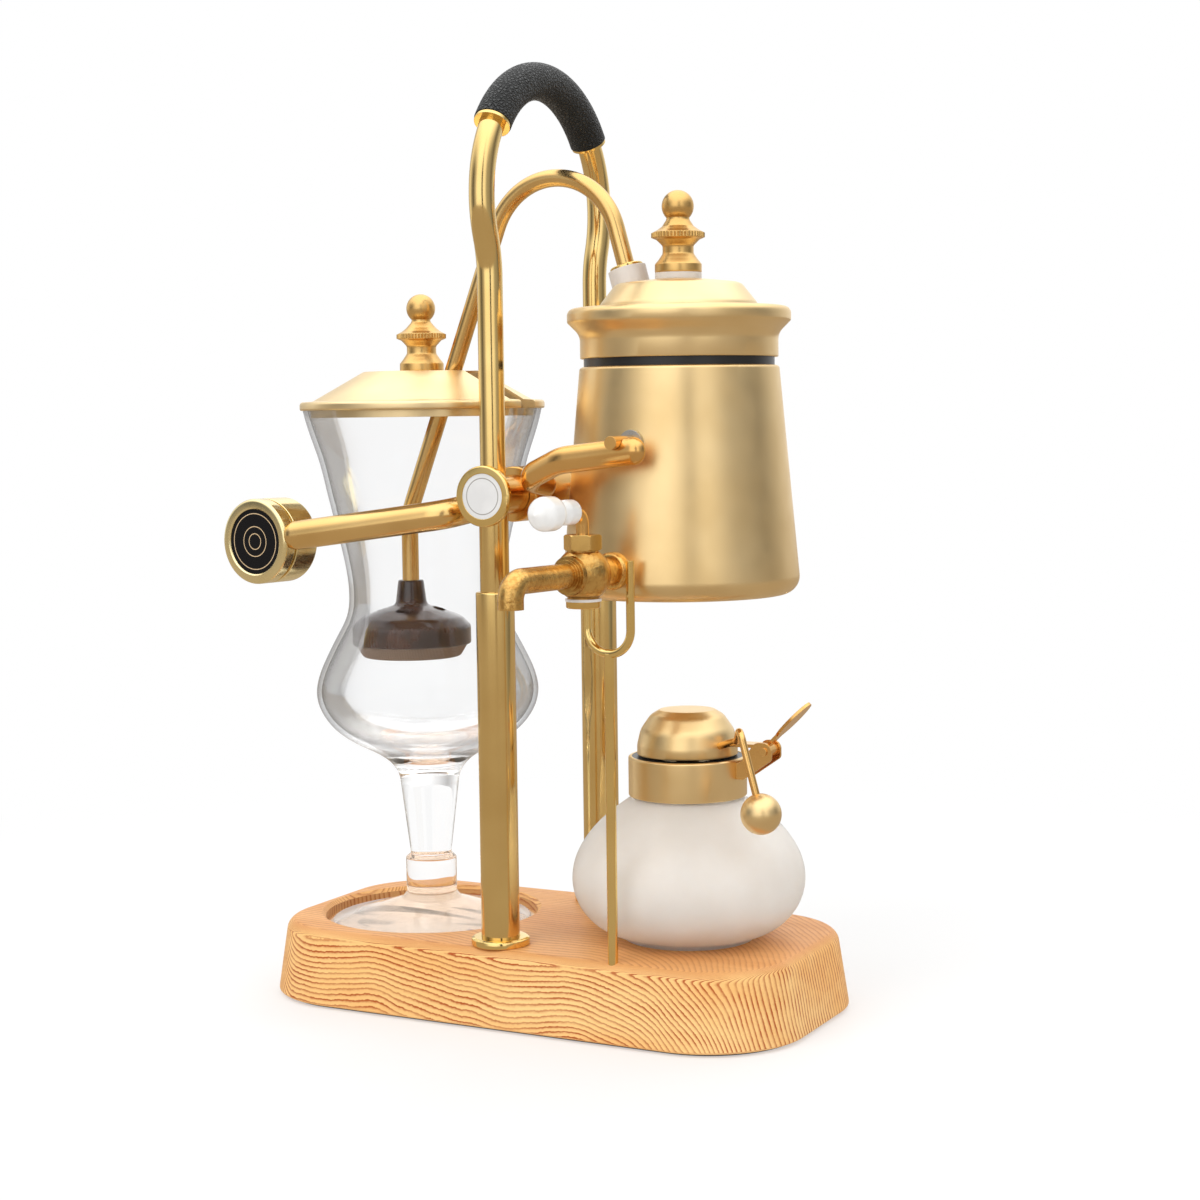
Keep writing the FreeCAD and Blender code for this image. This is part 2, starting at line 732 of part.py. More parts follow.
LID_RADIUS = 39.1
LID_THICKNESS = 1.0
PLUG_HOLE = 4.1
lid_outline = [
    (LID_RADIUS, LID_SEAT_Z + LID_THICKNESS + 1.0, 0.4),
    (31.8, LID_SEAT_Z + LID_THICKNESS + 1.0, 0.8),
    (30.6, 282.6, 3.0),
    (24.6, 290.2, 4.0),
    (9.6, LID_TOP, 1.0),
]
lid_inside = [(entry[0] - 0.6, entry[1] - LID_THICKNESS, 0.4) for entry in reversed(lid_outline[1:])]
boiler_lid = turned(
    lid_outline
    + [(PLUG_HOLE, LID_TOP), (PLUG_HOLE, LID_TOP - LID_THICKNESS)]
    + lid_inside
    + [(LID_RADIUS, LID_SEAT_Z)],
    BOILER_X,
)
lid_envelope = turned(lid_outline + [(0, LID_TOP), (0, 200), (LID_RADIUS, 200)], BOILER_X)

lean = math.radians(SIPHON_LEAN)
up_tube = vec(-math.sin(lean), 0, math.cos(lean))


def on_riser(z):
    """Point on the siphon tube's straight length above and inside the boiler."""
    apex_x, apex_z = SIPHON_APEX
    return vec(apex_x + (apex_z - z) * math.tan(lean), 0, z)


STOPPER_RADIUS = 7.6
STOPPER_NECK = 4.9
STOPPER_TOP = 296.8
stopper_foot = on_riser(STOPPER_TOP).sub(FreeCAD.Vector(up_tube).multiply(20))
stopper = cylinder(STOPPER_RADIUS, 20, stopper_foot, up_tube).cut(lid_envelope)
stopper_neck = cylinder(STOPPER_NECK, 16, on_riser(STOPPER_TOP - 15), up_tube)
stopper = stopper.fuse(stopper_neck)
stopper_above = cylinder(30, 60, on_riser(STOPPER_TOP), up_tube)
tube_space = cylinder(SIPHON_RADIUS + FIT, 60, on_riser(260), up_tube)
stopper = stopper.cut(stopper_above).cut(tube_space)
save("tube_stopper", stopper)

lid_hole = cylinder(STOPPER_NECK + FIT, 60, on_riser(260), up_tube)
save("boiler_lid", boiler_lid.cut(lid_hole))

WASHER_THICKNESS = 1.3
washer = cylinder(STOPPER_RADIUS - 1.0, WASHER_THICKNESS, on_riser(STOPPER_TOP), up_tube)
washer_circles = [edge for edge in washer.Edges if len(edge.Vertexes) == 1]
washer_circles.sort(key=lambda edge: edge.CenterOfMass.z)
washer = washer.makeChamfer(0.35, [washer_circles[-1]]).cut(tube_space)
save("stopper_washer", washer)

pins = []
pin_washers = []
pin_share = (TRUNNION_Z - POT_BOTTOM) / (POT_TOP - POT_BOTTOM)
pot_radius_at_pin = POT_RADIUS + (POT_TOP_RADIUS - POT_RADIUS) * pin_share
WASHER_RADIUS = 4.6
for side in (-1, 1):
    away = vec(0, side, 0)
    pin_root = pot_radius_at_pin - 3
    pin = cylinder(PIN_RADIUS, PIN_END_Y - pin_root, vec(BOILER_X, side * pin_root, TRUNNION_Z), away)
    pins.append(pin.cut(pot_envelope))
    pin_washer = ring(
        WASHER_RADIUS,
        PIN_RADIUS + FIT,
        2.6,
        vec(BOILER_X, side * (pot_radius_at_pin - 1), TRUNNION_Z),
        away,
    )
    pin_washers.append(pin_washer.cut(pot_envelope))
save("trunnion_pins", compound(pins))
save("trunnion_washers", compound(pin_washers))

# ---- siphon tube: from the boiler floor, over the arch and down to the filter ----
FILTER_TUBE_END = 152.0
tube_line = path(
    [
        (on_riser(SIPHON_FOOT_Z).x, 0, SIPHON_FOOT_Z),
        (SIPHON_APEX[0], 0, SIPHON_APEX[1], SIPHON_BEND),
        (FILTER_X, 0, SIPHON_KNEE_Z, 26),
        (FILTER_X, 0, FILTER_TUBE_END),
    ]
)
siphon = swept(tube_line, SIPHON_RADIUS).cut(swept(tube_line, SIPHON_RADIUS - SIPHON_WALL))
save("siphon_tube", siphon)

FILTER_BAND_BOTTOM = 143.8
filter_head = turned(
    [
        (SIPHON_RADIUS + FIT, 171),
        (5.3, 171, 0.8),
        (6.6, 160.6, 2.5),
        (13, 158.6, 4),
        (21.5, 155.2, 6),
        (FILTER_RADIUS, 151.5, 2.5),
        (FILTER_RADIUS, FILTER_BAND_BOTTOM, 0.8),
        (FILTER_RADIUS - 2, FILTER_BAND_BOTTOM),
        (FILTER_RADIUS - 2, 150.5, 1.5),
        (20.8, 153.2, 4),
        (SIPHON_RADIUS + FIT, 156.6),
    ],
    FILTER_X,
)
SLOT_CENTRE = 12.0
SLOT_RADIUS = 2.4
SLOT_HALF = 1.6
SLOT_FLOOR = 150.0
SLOT_HEIGHT = 12.0
for quarter in range(4):
    slot = Part.makeBox(
        2 * SLOT_HALF,
        2 * SLOT_RADIUS,
        SLOT_HEIGHT,
        vec(-SLOT_HALF, -SLOT_CENTRE - SLOT_RADIUS, SLOT_FLOOR),
    )
    for end in (-SLOT_HALF, SLOT_HALF):
        slot = slot.fuse(cylinder(SLOT_RADIUS, SLOT_HEIGHT, vec(end, -SLOT_CENTRE, SLOT_FLOOR)))
    slot.rotate(vec(0, 0, 0), Z_AXIS, 90 * quarter + 20)
    slot.translate(vec(FILTER_X, 0, 0))
    filter_head = filter_head.cut(slot)
save("filter_head", filter_head)

FILTER_BOTTOM = 138.6
filter_screen = turned(
    [
        (0, FILTER_BOTTOM),
        (20.5, FILTER_BOTTOM, 2),
        (23.6, FILTER_BAND_BOTTOM - 0.02),
        (FILTER_RADIUS - 2.1, FILTER_BAND_BOTTOM - 0.02),
        (FILTER_RADIUS - 2.1, 146.5),
        (21.5, 146.5),
        (21.5, 142.6, 1),
        (19.5, 140.4, 1),
        (0, 140.4),
    ],
    FILTER_X,
)
save("filter_screen", filter_screen)

# ---- tap, built about its own ball with the spout along +X ----
spout_line = path(
    [
        (POT_RADIUS - 4, 0, 0),
        (TAP_ELBOW_REACH, 0, 0, 6.5),
        (TAP_ELBOW_REACH, 0, -TAP_SPOUT_DROP),
    ]
)
tap_ball = Part.makeSphere(TAP_BALL_RADIUS, vec(TAP_BALL_REACH, 0, 0))
ball_foot = vec(TAP_BALL_REACH, 0, -TAP_BALL_HALF_HEIGHT)
tap_body = tap_ball.common(cylinder(TAP_BALL_RADIUS + 1, 2 * TAP_BALL_HALF_HEIGHT, ball_foot))
tap_body = tap_body.fuse(cylinder(5.9, 2 * TAP_BALL_HALF_HEIGHT, ball_foot))
tap_body = tap_body.fuse(swept(spout_line, TAP_SPOUT_RADIUS))
pot_side_start = POT_RADIUS - 4
pot_side_length = TAP_BALL_REACH - pot_side_start
pot_side_pipe = cylinder(TAP_PIPE_RADIUS, pot_side_length, vec(pot_side_start, 0, 0), X_AXIS)
tap_body = tap_body.fuse(pot_side_pipe)
for collar_radius, length, start in [(7.3, 2.4, 7.2), (6.0, 1.5, 9.6), (6.2, 1.8, -9.6)]:
    tap_body = tap_body.fuse(cylinder(collar_radius, length, vec(TAP_BALL_REACH + start, 0, 0), X_AXIS))
tap_body = at_tap(tap_body).cut(pot_envelope)
tap_body = tap_body.fuse(at_tap(cylinder(TAP_HOLE, 9, vec(POT_RADIUS - 6, 0, 0), X_AXIS)))
tap_body = tap_body.cut(at_tap(swept(spout_line, TAP_BORE)))
stem_space = cylinder(TAP_STEM_RADIUS + RUNNING, 40, vec(TAP_BALL_REACH, 0, -6.5))
tap_body = tap_body.cut(at_tap(stem_space))
save("tap_body", tap_body)

tap_flange = turned(
    [
        (TAP_PIPE_RADIUS + FIT, 0),
        (7.2, 0),
        (7.2, 5.6, 1.6),
        (TAP_PIPE_RADIUS + FIT, 5.6),
    ],
    0,
)
tap_flange.rotate(vec(0, 0, 0), Y_AXIS, 90)
tap_flange.translate(vec(POT_RADIUS - 3.6, 0, 0))
save("tap_flange", at_tap(tap_flange).cut(pot_envelope))

BONNET_Z = TAP_BALL_HALF_HEIGHT
BONNET_HEIGHT = 5.8
BONNET_RADIUS = 7.1
bonnet = hexagon(BONNET_RADIUS, vec(TAP_BALL_REACH, 0, BONNET_Z + FIT), BONNET_HEIGHT)
bonnet_round = turned(
    [
        (0, BONNET_Z),
        (BONNET_RADIUS - 0.6, BONNET_Z),
        (BONNET_RADIUS, BONNET_Z + 0.5),
        (BONNET_RADIUS, BONNET_Z + BONNET_HEIGHT - 0.5),
        (BONNET_RADIUS - 0.6, BONNET_Z + BONNET_HEIGHT + FIT),
        (0, BONNET_Z + BONNET_HEIGHT + FIT),
    ],
    TAP_BALL_REACH,
)
bonnet = bonnet.common(bonnet_round).cut(stem_space)
save("tap_bonnet_nut", at_tap(bonnet))

CAP_GASKET_THICKNESS = 0.95
CAP_GASKET_Z = -TAP_BALL_HALF_HEIGHT - CAP_GASKET_THICKNESS - FIT
cap_gasket = cylinder(6.8, CAP_GASKET_THICKNESS, vec(TAP_BALL_REACH, 0, CAP_GASKET_Z))
save("tap_cap_gasket", at_tap(cap_gasket))
BOTTOM_CAP_HEIGHT = 2.6
bottom_cap = turned(
    [
        (0, CAP_GASKET_Z - BOTTOM_CAP_HEIGHT),
        (6.5, CAP_GASKET_Z - BOTTOM_CAP_HEIGHT, 0.7),
        (6.5, CAP_GASKET_Z),
        (0, CAP_GASKET_Z),
    ],
    TAP_BALL_REACH,
)
save("tap_bottom_cap", at_tap(bottom_cap))

LEVER_FOOT = (TAP_BALL_REACH, 0, -6.0)
LEVER_CORNER = (TAP_BALL_REACH, 0, TAP_LEVER_RISE, 4.6)
LEVER_REACH = 14.0
lever_tip = (TAP_BALL_REACH + LEVER_REACH, 0, TAP_LEVER_RISE + 0.6)
lever = rod([LEVER_FOOT, LEVER_CORNER, lever_tip], TAP_STEM_RADIUS)
save("tap_lever", at_tap(lever))

KNOB_START = 4.8
knob = turned(
    [
        (0, 0),
        (3.4, 0, 0.8),
        (4.7, 1.8, 1.5),
        (4.7, 7.0, 2.2),
        (3.6, 10.2, 1.4),
        (6.4, 13.4, 3.4),
        (6.4, 21.4, 4.6),
        (0, 24.6),
    ],
    0,
)
knob.rotate(vec(0, 0, 0), Y_AXIS, 90)
knob.translate(vec(TAP_BALL_REACH + KNOB_START, 0, TAP_LEVER_RISE + 0.4))
lever_space_end = (lever_tip[0] + FIT, 0, lever_tip[2])
lever_space = rod([LEVER_FOOT, LEVER_CORNER, lever_space_end], TAP_STEM_RADIUS + FIT)
save("tap_knob", at_tap(knob.cut(lever_space)))

# ---- guide fork: keeps the tap pipe from swinging sideways as the boiler sinks ----
guide_bow = rod(
    [
        (0, -GUIDE_HALF_GAP, GUIDE_TOP),
        (0, -GUIDE_HALF_GAP, GUIDE_BEND_Z, GUIDE_HALF_GAP - 0.6),
        (0, GUIDE_HALF_GAP, GUIDE_BEND_Z, GUIDE_HALF_GAP - 0.6),
        (0, GUIDE_HALF_GAP, GUIDE_TOP),
    ],
    GUIDE_ROD,
)
guide_root_z = BASE_TOP - GUIDE_SINK
guide_stem = cylinder(GUIDE_STEM, GUIDE_BEND_Z - guide_root_z, vec(0, 0, guide_root_z))
guide = guide_bow.fuse(guide_stem)
guide.rotate(vec(0, 0, 0), Z_AXIS, TAP_HEADING)
guide.translate(vec(guide_foot.x, guide_foot.y, 0))
save("guide_fork", guide)


# ---- finials of the fill plug and of the goblet's lid ----
KNURL_TEETH = 48


def finial(x, z, base_radius, disc_radius, neck_radius, ball_radius):
    """Turned knob 32 mm tall: base disc, waist, knurled disc, neck and ball."""
    body = turned(
        [
            (0, z),
            (base_radius, z, 0.5),
            (base_radius, z + 3.2, 0.6),
            (7.6, z + 5.2, 1.0),
            (6.1, z + 7.4, 2.0),
            (6.1, z + 10.4, 1.6),
            (disc_radius - 2.0, z + 12.8, 0.8),
            (disc_radius - 0.5, z + 13.4),
            (disc_radius - 0.5, z + 15.6),
            (disc_radius - 2.4, z + 16.6, 0.6),
            (6.2, z + 18.0, 1.5),
            (neck_radius, z + 20.6, 2.0),
            (neck_radius, z + 22.6, 0.5),
            (0, z + 22.6),
        ],
        x,
    )
    outline = []
    for step in range(2 * KNURL_TEETH + 1):
        radius = disc_radius if step % 2 else disc_radius - 0.8
        angle = math.pi * step / KNURL_TEETH
        outline.append(vec(x + radius * math.cos(angle), radius * math.sin(angle), z + 13.6))
    outline[-1] = outline[0]
    knurl = Part.Face(Part.makePolygon(outline)).extrude(vec(0, 0, 1.8))
    ball = Part.makeSphere(ball_radius, vec(x, 0, z + 32 - ball_radius))
    return body.fuse(knurl).fuse(ball)


PLUG_Z = 294.4
fill_plug = finial(BOILER_X, PLUG_Z, 9.2, 10.5, 4.5, 6.3)
fill_plug = fill_plug.fuse(cylinder(PLUG_HOLE - RUNNING, 12, vec(BOILER_X, 0, PLUG_Z - 12)))
save("fill_plug", fill_plug)
plug_gasket = ring(9.15, PLUG_HOLE, PLUG_Z - LID_TOP, vec(BOILER_X, 0, LID_TOP))
save("plug_gasket", plug_gasket)

# ---- goblet ----
bowl_points = [
    (12.5, 87.5),
    (15.6, 93.5),
    (24.0, 99.6),
    (35.4, 106.0),
    (43.2, 114.0),
    (46.6, 124.0),
    (45.0, 132.5),
    (41.2, 141.0),
    (37.0, 149.0),
    (33.2, 157.0),
    (32.2, 165.0),
    (34.2, 181.5),
    (37.0, 194.0),
    (40.0, 206.5),
    (43.6, 222.0),
    (47.2, 233.0),
    (49.8, GOBLET_TOP),
]
bowl_curve = smooth_curve(bowl_points)
inner_points = inside_points(bowl_curve, bowl_points[2:], GOBLET_WALL)
inner_points[-1] = (inner_points[-1][0], GOBLET_TOP)
inner_points = [(0.0, 96.5), (12.0, 97.4)] + inner_points
stem_corners = [
    (vec(12.5, 0, 87.5), 0),
    (vec(8.8, 0, 57.2), 2.0),
    (vec(8.6, 0, 54.9), 0.6),
    (vec(10.7, 0, 53.4), 1.4),
    (vec(10.7, 0, 38.6), 1.8),
    (vec(12.6, 0, 36.0), 2.0),
    (vec(24.0, 0, 32.2), 30.0),
    (vec(FOOT_RADIUS, 0, 27.6), 0.6),
    (vec(FOOT_RADIUS, 0, GOBLET_FLOOR), 0.8),
    (vec(0, 0, GOBLET_FLOOR), 0),
]
goblet_edges = rounded_edges(stem_corners, False)
goblet_edges += polyline([(0, GOBLET_FLOOR), (0, 96.5)])
goblet_edges.append(smooth_curve(inner_points).toShape())
goblet_edges += polyline([inner_points[-1], bowl_points[-1]])
goblet_edges.append(bowl_curve.toShape())
goblet = turned_edges(goblet_edges, GOBLET_X)
save("goblet_glass", goblet)

# The skirt stays inside the glass, whose inner radius at the top is a little under 48 mm.
skirt_radius = inner_points[-1][0] - 1.4
lid_profile = [
    (0, GOBLET_LID_TOP - 1.0),
    (23.8, GOBLET_LID_TOP - 1.0, 1.0),
    (skirt_radius - 2.4, GOBLET_TOP + 3.0, 1.0),
    (skirt_radius - 1.0, GOBLET_TOP + 1.2),
    (skirt_radius - 1.0, GOBLET_TOP - 3.0),
    (skirt_radius, GOBLET_TOP - 3.0),
    (skirt_radius, GOBLET_TOP),
    (GOBLET_LID_RADIUS, GOBLET_TOP, 0.8),
    (GOBLET_LID_RADIUS, GOBLET_TOP + 3.4, 1.4),
    (45.6, GOBLET_TOP + 3.8, 1.0),
    (24.4, GOBLET_LID_TOP, 1.2),
    (0, GOBLET_LID_TOP),
]
lid_slot = Part.makeBox(
    GOBLET_LID_RADIUS,
    2 * LID_SLOT_HALF,
    40,
    vec(GOBLET_X + 9.0, -LID_SLOT_HALF, GOBLET_TOP - 10),
)
lid_slot = lid_slot.fuse(cylinder(LID_SLOT_HALF, 40, vec(GOBLET_X + 9.0, 0, GOBLET_TOP - 10)))
goblet_lid = turned(lid_profile, GOBLET_X).cut(lid_slot)
save("goblet_lid", goblet_lid)
lid_finial = finial(GOBLET_X, GOBLET_LID_TOP + FIT, 9.15, 10.3, 3.9, 6.0)
save("lid_finial", lid_finial)

# ---- spirit burner ----
globe_points = [
    (26.6, 32.6),
    (36.0, 36.2),
    (43.2, 43.5),
    (46.5, 54.0),
    (44.8, 64.0),
    (39.4, 73.0),
    (32.6, 80.0),
    (26.6, 84.6),
    (22.2, 87.6),
]
GLOBE_WALL = 2.4
GLOBE_NECK = 21.4
globe_curve = smooth_curve(globe_points)
globe_inner = inside_points(globe_curve, globe_points, GLOBE_WALL)
globe_edges = [globe_curve.toShape(), smooth_curve(globe_inner).toShape()]
globe_edges += polyline(
    [
        globe_points[-1],
        (GLOBE_NECK, 88.2),
        (GLOBE_NECK, 99.0),
        (GLOBE_NECK - GLOBE_WALL, 99.0),
        (GLOBE_NECK - GLOBE_WALL, 88.2),
        globe_inner[-1],
    ]
)
globe_edges += polyline(
    [globe_points[0], (26.2, BASE_TOP), (0, BASE_TOP), (0, BASE_TOP + 3.4), globe_inner[0]]
)
globe = turned_edges(globe_edges, BURNER_X)
save("burner_globe", globe)

collar = turned(
    [
        (GLOBE_NECK + FIT, 89.0),
        (COLLAR_RADIUS, COLLAR_BOTTOM, 0.5),
        (COLLAR_RADIUS, COLLAR_TOP, 0.9),
        (22.2, COLLAR_TOP),
        (22.2, 102.6),
        (17.0, 102.6),
        (17.0, 101.6),
        (22.0, 101.6),
        (22.0, 99.6),
        (GLOBE_NECK + FIT, 99.6),
    ],
    BURNER_X,
)
save("burner_collar", collar)
collar_gasket = ring(22.1, 17.2, 1.3, vec(BURNER_X, 0, 102.62))
save("collar_gasket", collar_gasket)

WICK_RADIUS = 3.6
wick_holder = turned(
    [
        (WICK_RADIUS + FIT, 90.0),
        (WICK_RADIUS + 1.0, 90.0),
        (WICK_RADIUS + 1.0, 100.3),
        (20.9, 100.3),
        (20.9, 101.5),
        (WICK_RADIUS + 1.0, 101.5),
        (WICK_RADIUS + 1.0, 110.5, 0.4),
        (WICK_RADIUS + FIT, 110.5),
    ],
    BURNER_X,
)
save("wick_holder", wick_holder)
wick = cylinder(WICK_RADIUS, 78.0, vec(BURNER_X, 0, 37.0))
save("wick", wick)

hinge_x = BURNER_X + HINGE_REACH
EAR_RADIUS = 3.4
EAR_THICKNESS = 1.2
EAR_GAP = 8.0
ear_outline = [
    (vec(BURNER_X + 20.0, 0, 96.5), 0),
    (vec(BURNER_X + 26.5, 0, 96.5), 1.5),
    (vec(hinge_x + EAR_RADIUS, 0, HINGE_Z - 3.4), 2.0),
    (vec(hinge_x + EAR_RADIUS, 0, HINGE_Z + EAR_RADIUS), EAR_RADIUS - 0.1),
    (vec(hinge_x - EAR_RADIUS, 0, HINGE_Z + EAR_RADIUS), EAR_RADIUS - 0.1),
    (vec(BURNER_X + 25.0, 0, 103.0), 1.0),
    (vec(BURNER_X + 20.0, 0, 103.0), 0),
]
ear_face = Part.Face(Part.Wire(rounded_edges(ear_outline, True)))
bracket = ear_face.extrude(vec(0, EAR_GAP + 2 * EAR_THICKNESS, 0))
bracket.translate(vec(0, -EAR_GAP / 2 - EAR_THICKNESS, 0))
EAR_WEB_X = BURNER_X + 24.8
bracket = bracket.cut(Part.makeBox(40, EAR_GAP, 60, vec(EAR_WEB_X, -EAR_GAP / 2, 80)))
collar_space = cylinder(COLLAR_RADIUS + FIT, 60, vec(BURNER_X, 0, 70))
pin_hole = cylinder(HINGE_PIN_RADIUS + FIT, 40, vec(hinge_x, -20, HINGE_Z), Y_AXIS)
bracket = bracket.cut(collar_space).cut(pin_hole)
save("hinge_bracket", bracket)

PIN_HEAD_RADIUS = 1.7
pin_half = EAR_GAP / 2 + EAR_THICKNESS + FIT
hinge_pin = cylinder(HINGE_PIN_RADIUS, 2 * pin_half, vec(hinge_x, -pin_half, HINGE_Z), Y_AXIS)
for side in (-1, 1):
    pin_head = cylinder(PIN_HEAD_RADIUS, 0.7, vec(hinge_x, side * pin_half, HINGE_Z), vec(0, side, 0))
    hinge_pin = hinge_pin.fuse(pin_head)
save("hinge_pin", hinge_pin)

# ---- snuffer: cap, hinge arm with thumb tab, and the weight that keeps it shut ----
SNUFFER_BOTTOM = COLLAR_TOP + 0.6
snuffer_outline = [
    (SNUFFER_RADIUS, SNUFFER_BOTTOM, 0.4),
    (SNUFFER_RADIUS, 108.5, 6.0),
    (18.6, 114.5, 9.0),
    (14.6, 120.2, 6.0),
    (11.0, 122.4, 1.0),
]
snuffer_inside = [(entry[0] - 1.0, entry[1] - 0.9, 1.0) for entry in reversed(snuffer_outline[1:])]
snuffer_cap = turned(
    snuffer_outline
    + [(0, 122.6), (0, 121.6)]
    + snuffer_inside
    + [(SNUFFER_RADIUS - 1.0, SNUFFER_BOTTOM)],
    BURNER_X,
)
save("snuffer_cap", snuffer_cap)

ARM_HALF_WIDTH = 3.8
ARM_SHEET = 1.2
barrel = cylinder(2.6, 2 * ARM_HALF_WIDTH, vec(hinge_x, -ARM_HALF_WIDTH, HINGE_Z), Y_AXIS)
strap_outline = [
    (vec(BURNER_X + 15.0, 0, 110.2), 0),
    (vec(BURNER_X + 15.0, 0, 109.0), 0),
    (vec(hinge_x - 4, 0, 109.0), 1.0),
    (vec(hinge_x, 0, HINGE_Z + 0.8), 0),
    (vec(hinge_x, 0, HINGE_Z + 2.4), 0),
    (vec(hinge_x - 4, 0, 110.4), 1.0),
]
strap_face = Part.Face(Part.Wire(rounded_edges(strap_outline, True)))
strap = strap_face.extrude(vec(0, 2 * ARM_HALF_WIDTH, 0))
strap.translate(vec(0, -ARM_HALF_WIDTH, 0))
TAB_RISE = 45.0
TAB_LENGTH = 26.0
TAB_OFFSET = 0.6
SPOON_RADIUS = 5.2
SPOON_STRETCH = 1.85
SPOON_RIM = 1.0
SPOON_FLOOR = 0.5
spoon_x = TAB_LENGTH - SPOON_STRETCH * SPOON_RADIUS
lengthen = FreeCAD.Matrix()
lengthen.scale(SPOON_STRETCH, 1.0, 1.0)
spoon = cylinder(SPOON_RADIUS, ARM_SHEET, vec(0, 0, 0)).transformGeometry(lengthen)
spoon.translate(vec(spoon_x, 0, TAB_OFFSET))
hollow = cylinder(SPOON_RADIUS - SPOON_RIM, ARM_SHEET, vec(0, 0, 0)).transformGeometry(lengthen)
hollow.translate(vec(spoon_x, 0, TAB_OFFSET + SPOON_FLOOR))
tab = Part.makeBox(spoon_x - 4.0, 4.4, ARM_SHEET, vec(1.4, -2.2, TAB_OFFSET))
tab = tab.fuse(spoon).cut(hollow)
tab.rotate(vec(0, 0, 0), Y_AXIS, -TAB_RISE)
tab.translate(vec(hinge_x, 0, HINGE_Z))
cap_space = turned(
    [(SNUFFER_RADIUS, 95)] + snuffer_outline[1:] + [(0, 122.6), (0, 95)],
    BURNER_X,
)
snuffer_arm = strap.cut(cap_space).fuse(barrel).fuse(tab)
snuffer_arm = snuffer_arm.cut(
    cylinder(HINGE_PIN_RADIUS + RUNNING, 40, vec(hinge_x, -20, HINGE_Z), Y_AXIS)
)
save("snuffer_arm", snuffer_arm)

WEIGHT_ROD = 1.45
ball_centre = vec(BURNER_X + 46.0, -33.0, 89.0)
weight_line = [
    (BURNER_X + 15.5, -7.0, 109.0),
    (BURNER_X + 27.5, -13.0, 113.0, 4),
    (BURNER_X + 37.0, -32.0, 120.5, 4),
    (ball_centre.x, ball_centre.y, ball_centre.z),
]
weight_ball = Part.makeSphere(WEIGHT_BALL_RADIUS, ball_centre)
weight_rod = rod(weight_line, WEIGHT_ROD).cut(cap_space)
rod_socket = rod(weight_line, WEIGHT_ROD + FIT)
save("snuffer_weight_ball", weight_ball.cut(rod_socket))
save("snuffer_weight_rod", weight_rod)
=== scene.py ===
"""Looks for the balance siphon coffee maker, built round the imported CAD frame.  Metres, +Z up."""

import math

import bmesh
import bpy
from mathutils import Matrix, Vector


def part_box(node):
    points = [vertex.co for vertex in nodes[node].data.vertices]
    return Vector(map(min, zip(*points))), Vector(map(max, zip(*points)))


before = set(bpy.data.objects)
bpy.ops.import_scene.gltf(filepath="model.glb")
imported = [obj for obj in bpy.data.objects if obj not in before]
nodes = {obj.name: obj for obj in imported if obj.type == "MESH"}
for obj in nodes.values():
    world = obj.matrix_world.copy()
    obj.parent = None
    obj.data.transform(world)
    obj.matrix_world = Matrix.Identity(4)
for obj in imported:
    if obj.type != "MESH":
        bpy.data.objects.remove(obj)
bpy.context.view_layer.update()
MM = 0.001


def middle(node):
    """Centre of a CAD node's box at rest, in millimetres."""
    low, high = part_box(node)
    return [(a + b) / 2 / MM for a, b in zip(low, high)]


# Places that the materials are drawn about, in millimetres, from the frame.
PORTAL_X, _, PIVOT_Z = middle("pivot_inlays")
GOBLET_X = middle("goblet_glass")[0]
GOBLET_FLOOR_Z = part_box("goblet_glass")[0][2] / MM
STEM_BOTTOM_Z = GOBLET_FLOOR_Z + 4.5
STEM_TOP_Z = GOBLET_FLOOR_Z + 71.5
RECESS_RADIUS = 46.2
FILTER_X = middle("filter_head")[0]
FILTER_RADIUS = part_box("filter_head")[1][0] / MM - FILTER_X
FILTER_RIBS = 90.0
# The counterweight's plate is turned a little, so its face lies left of its box's middle.
PLATE_FACE_SHIFT = 0.152
PLATE_X, _, PLATE_Z = middle("counterweight_plate")

# Growth lines of the timber: lines per millimetre, where they start to bend toward the right end,
# how deep below the wood they bend about, and where the count of the lines on that end starts.
LINES_PER_MM = 0.46
BEND_X = 34.0
BEND_DEPTH = 48.0
END_START = 140.0


# ---------------------------------------------------------------- materials
EDGE_WEAR = 0.25


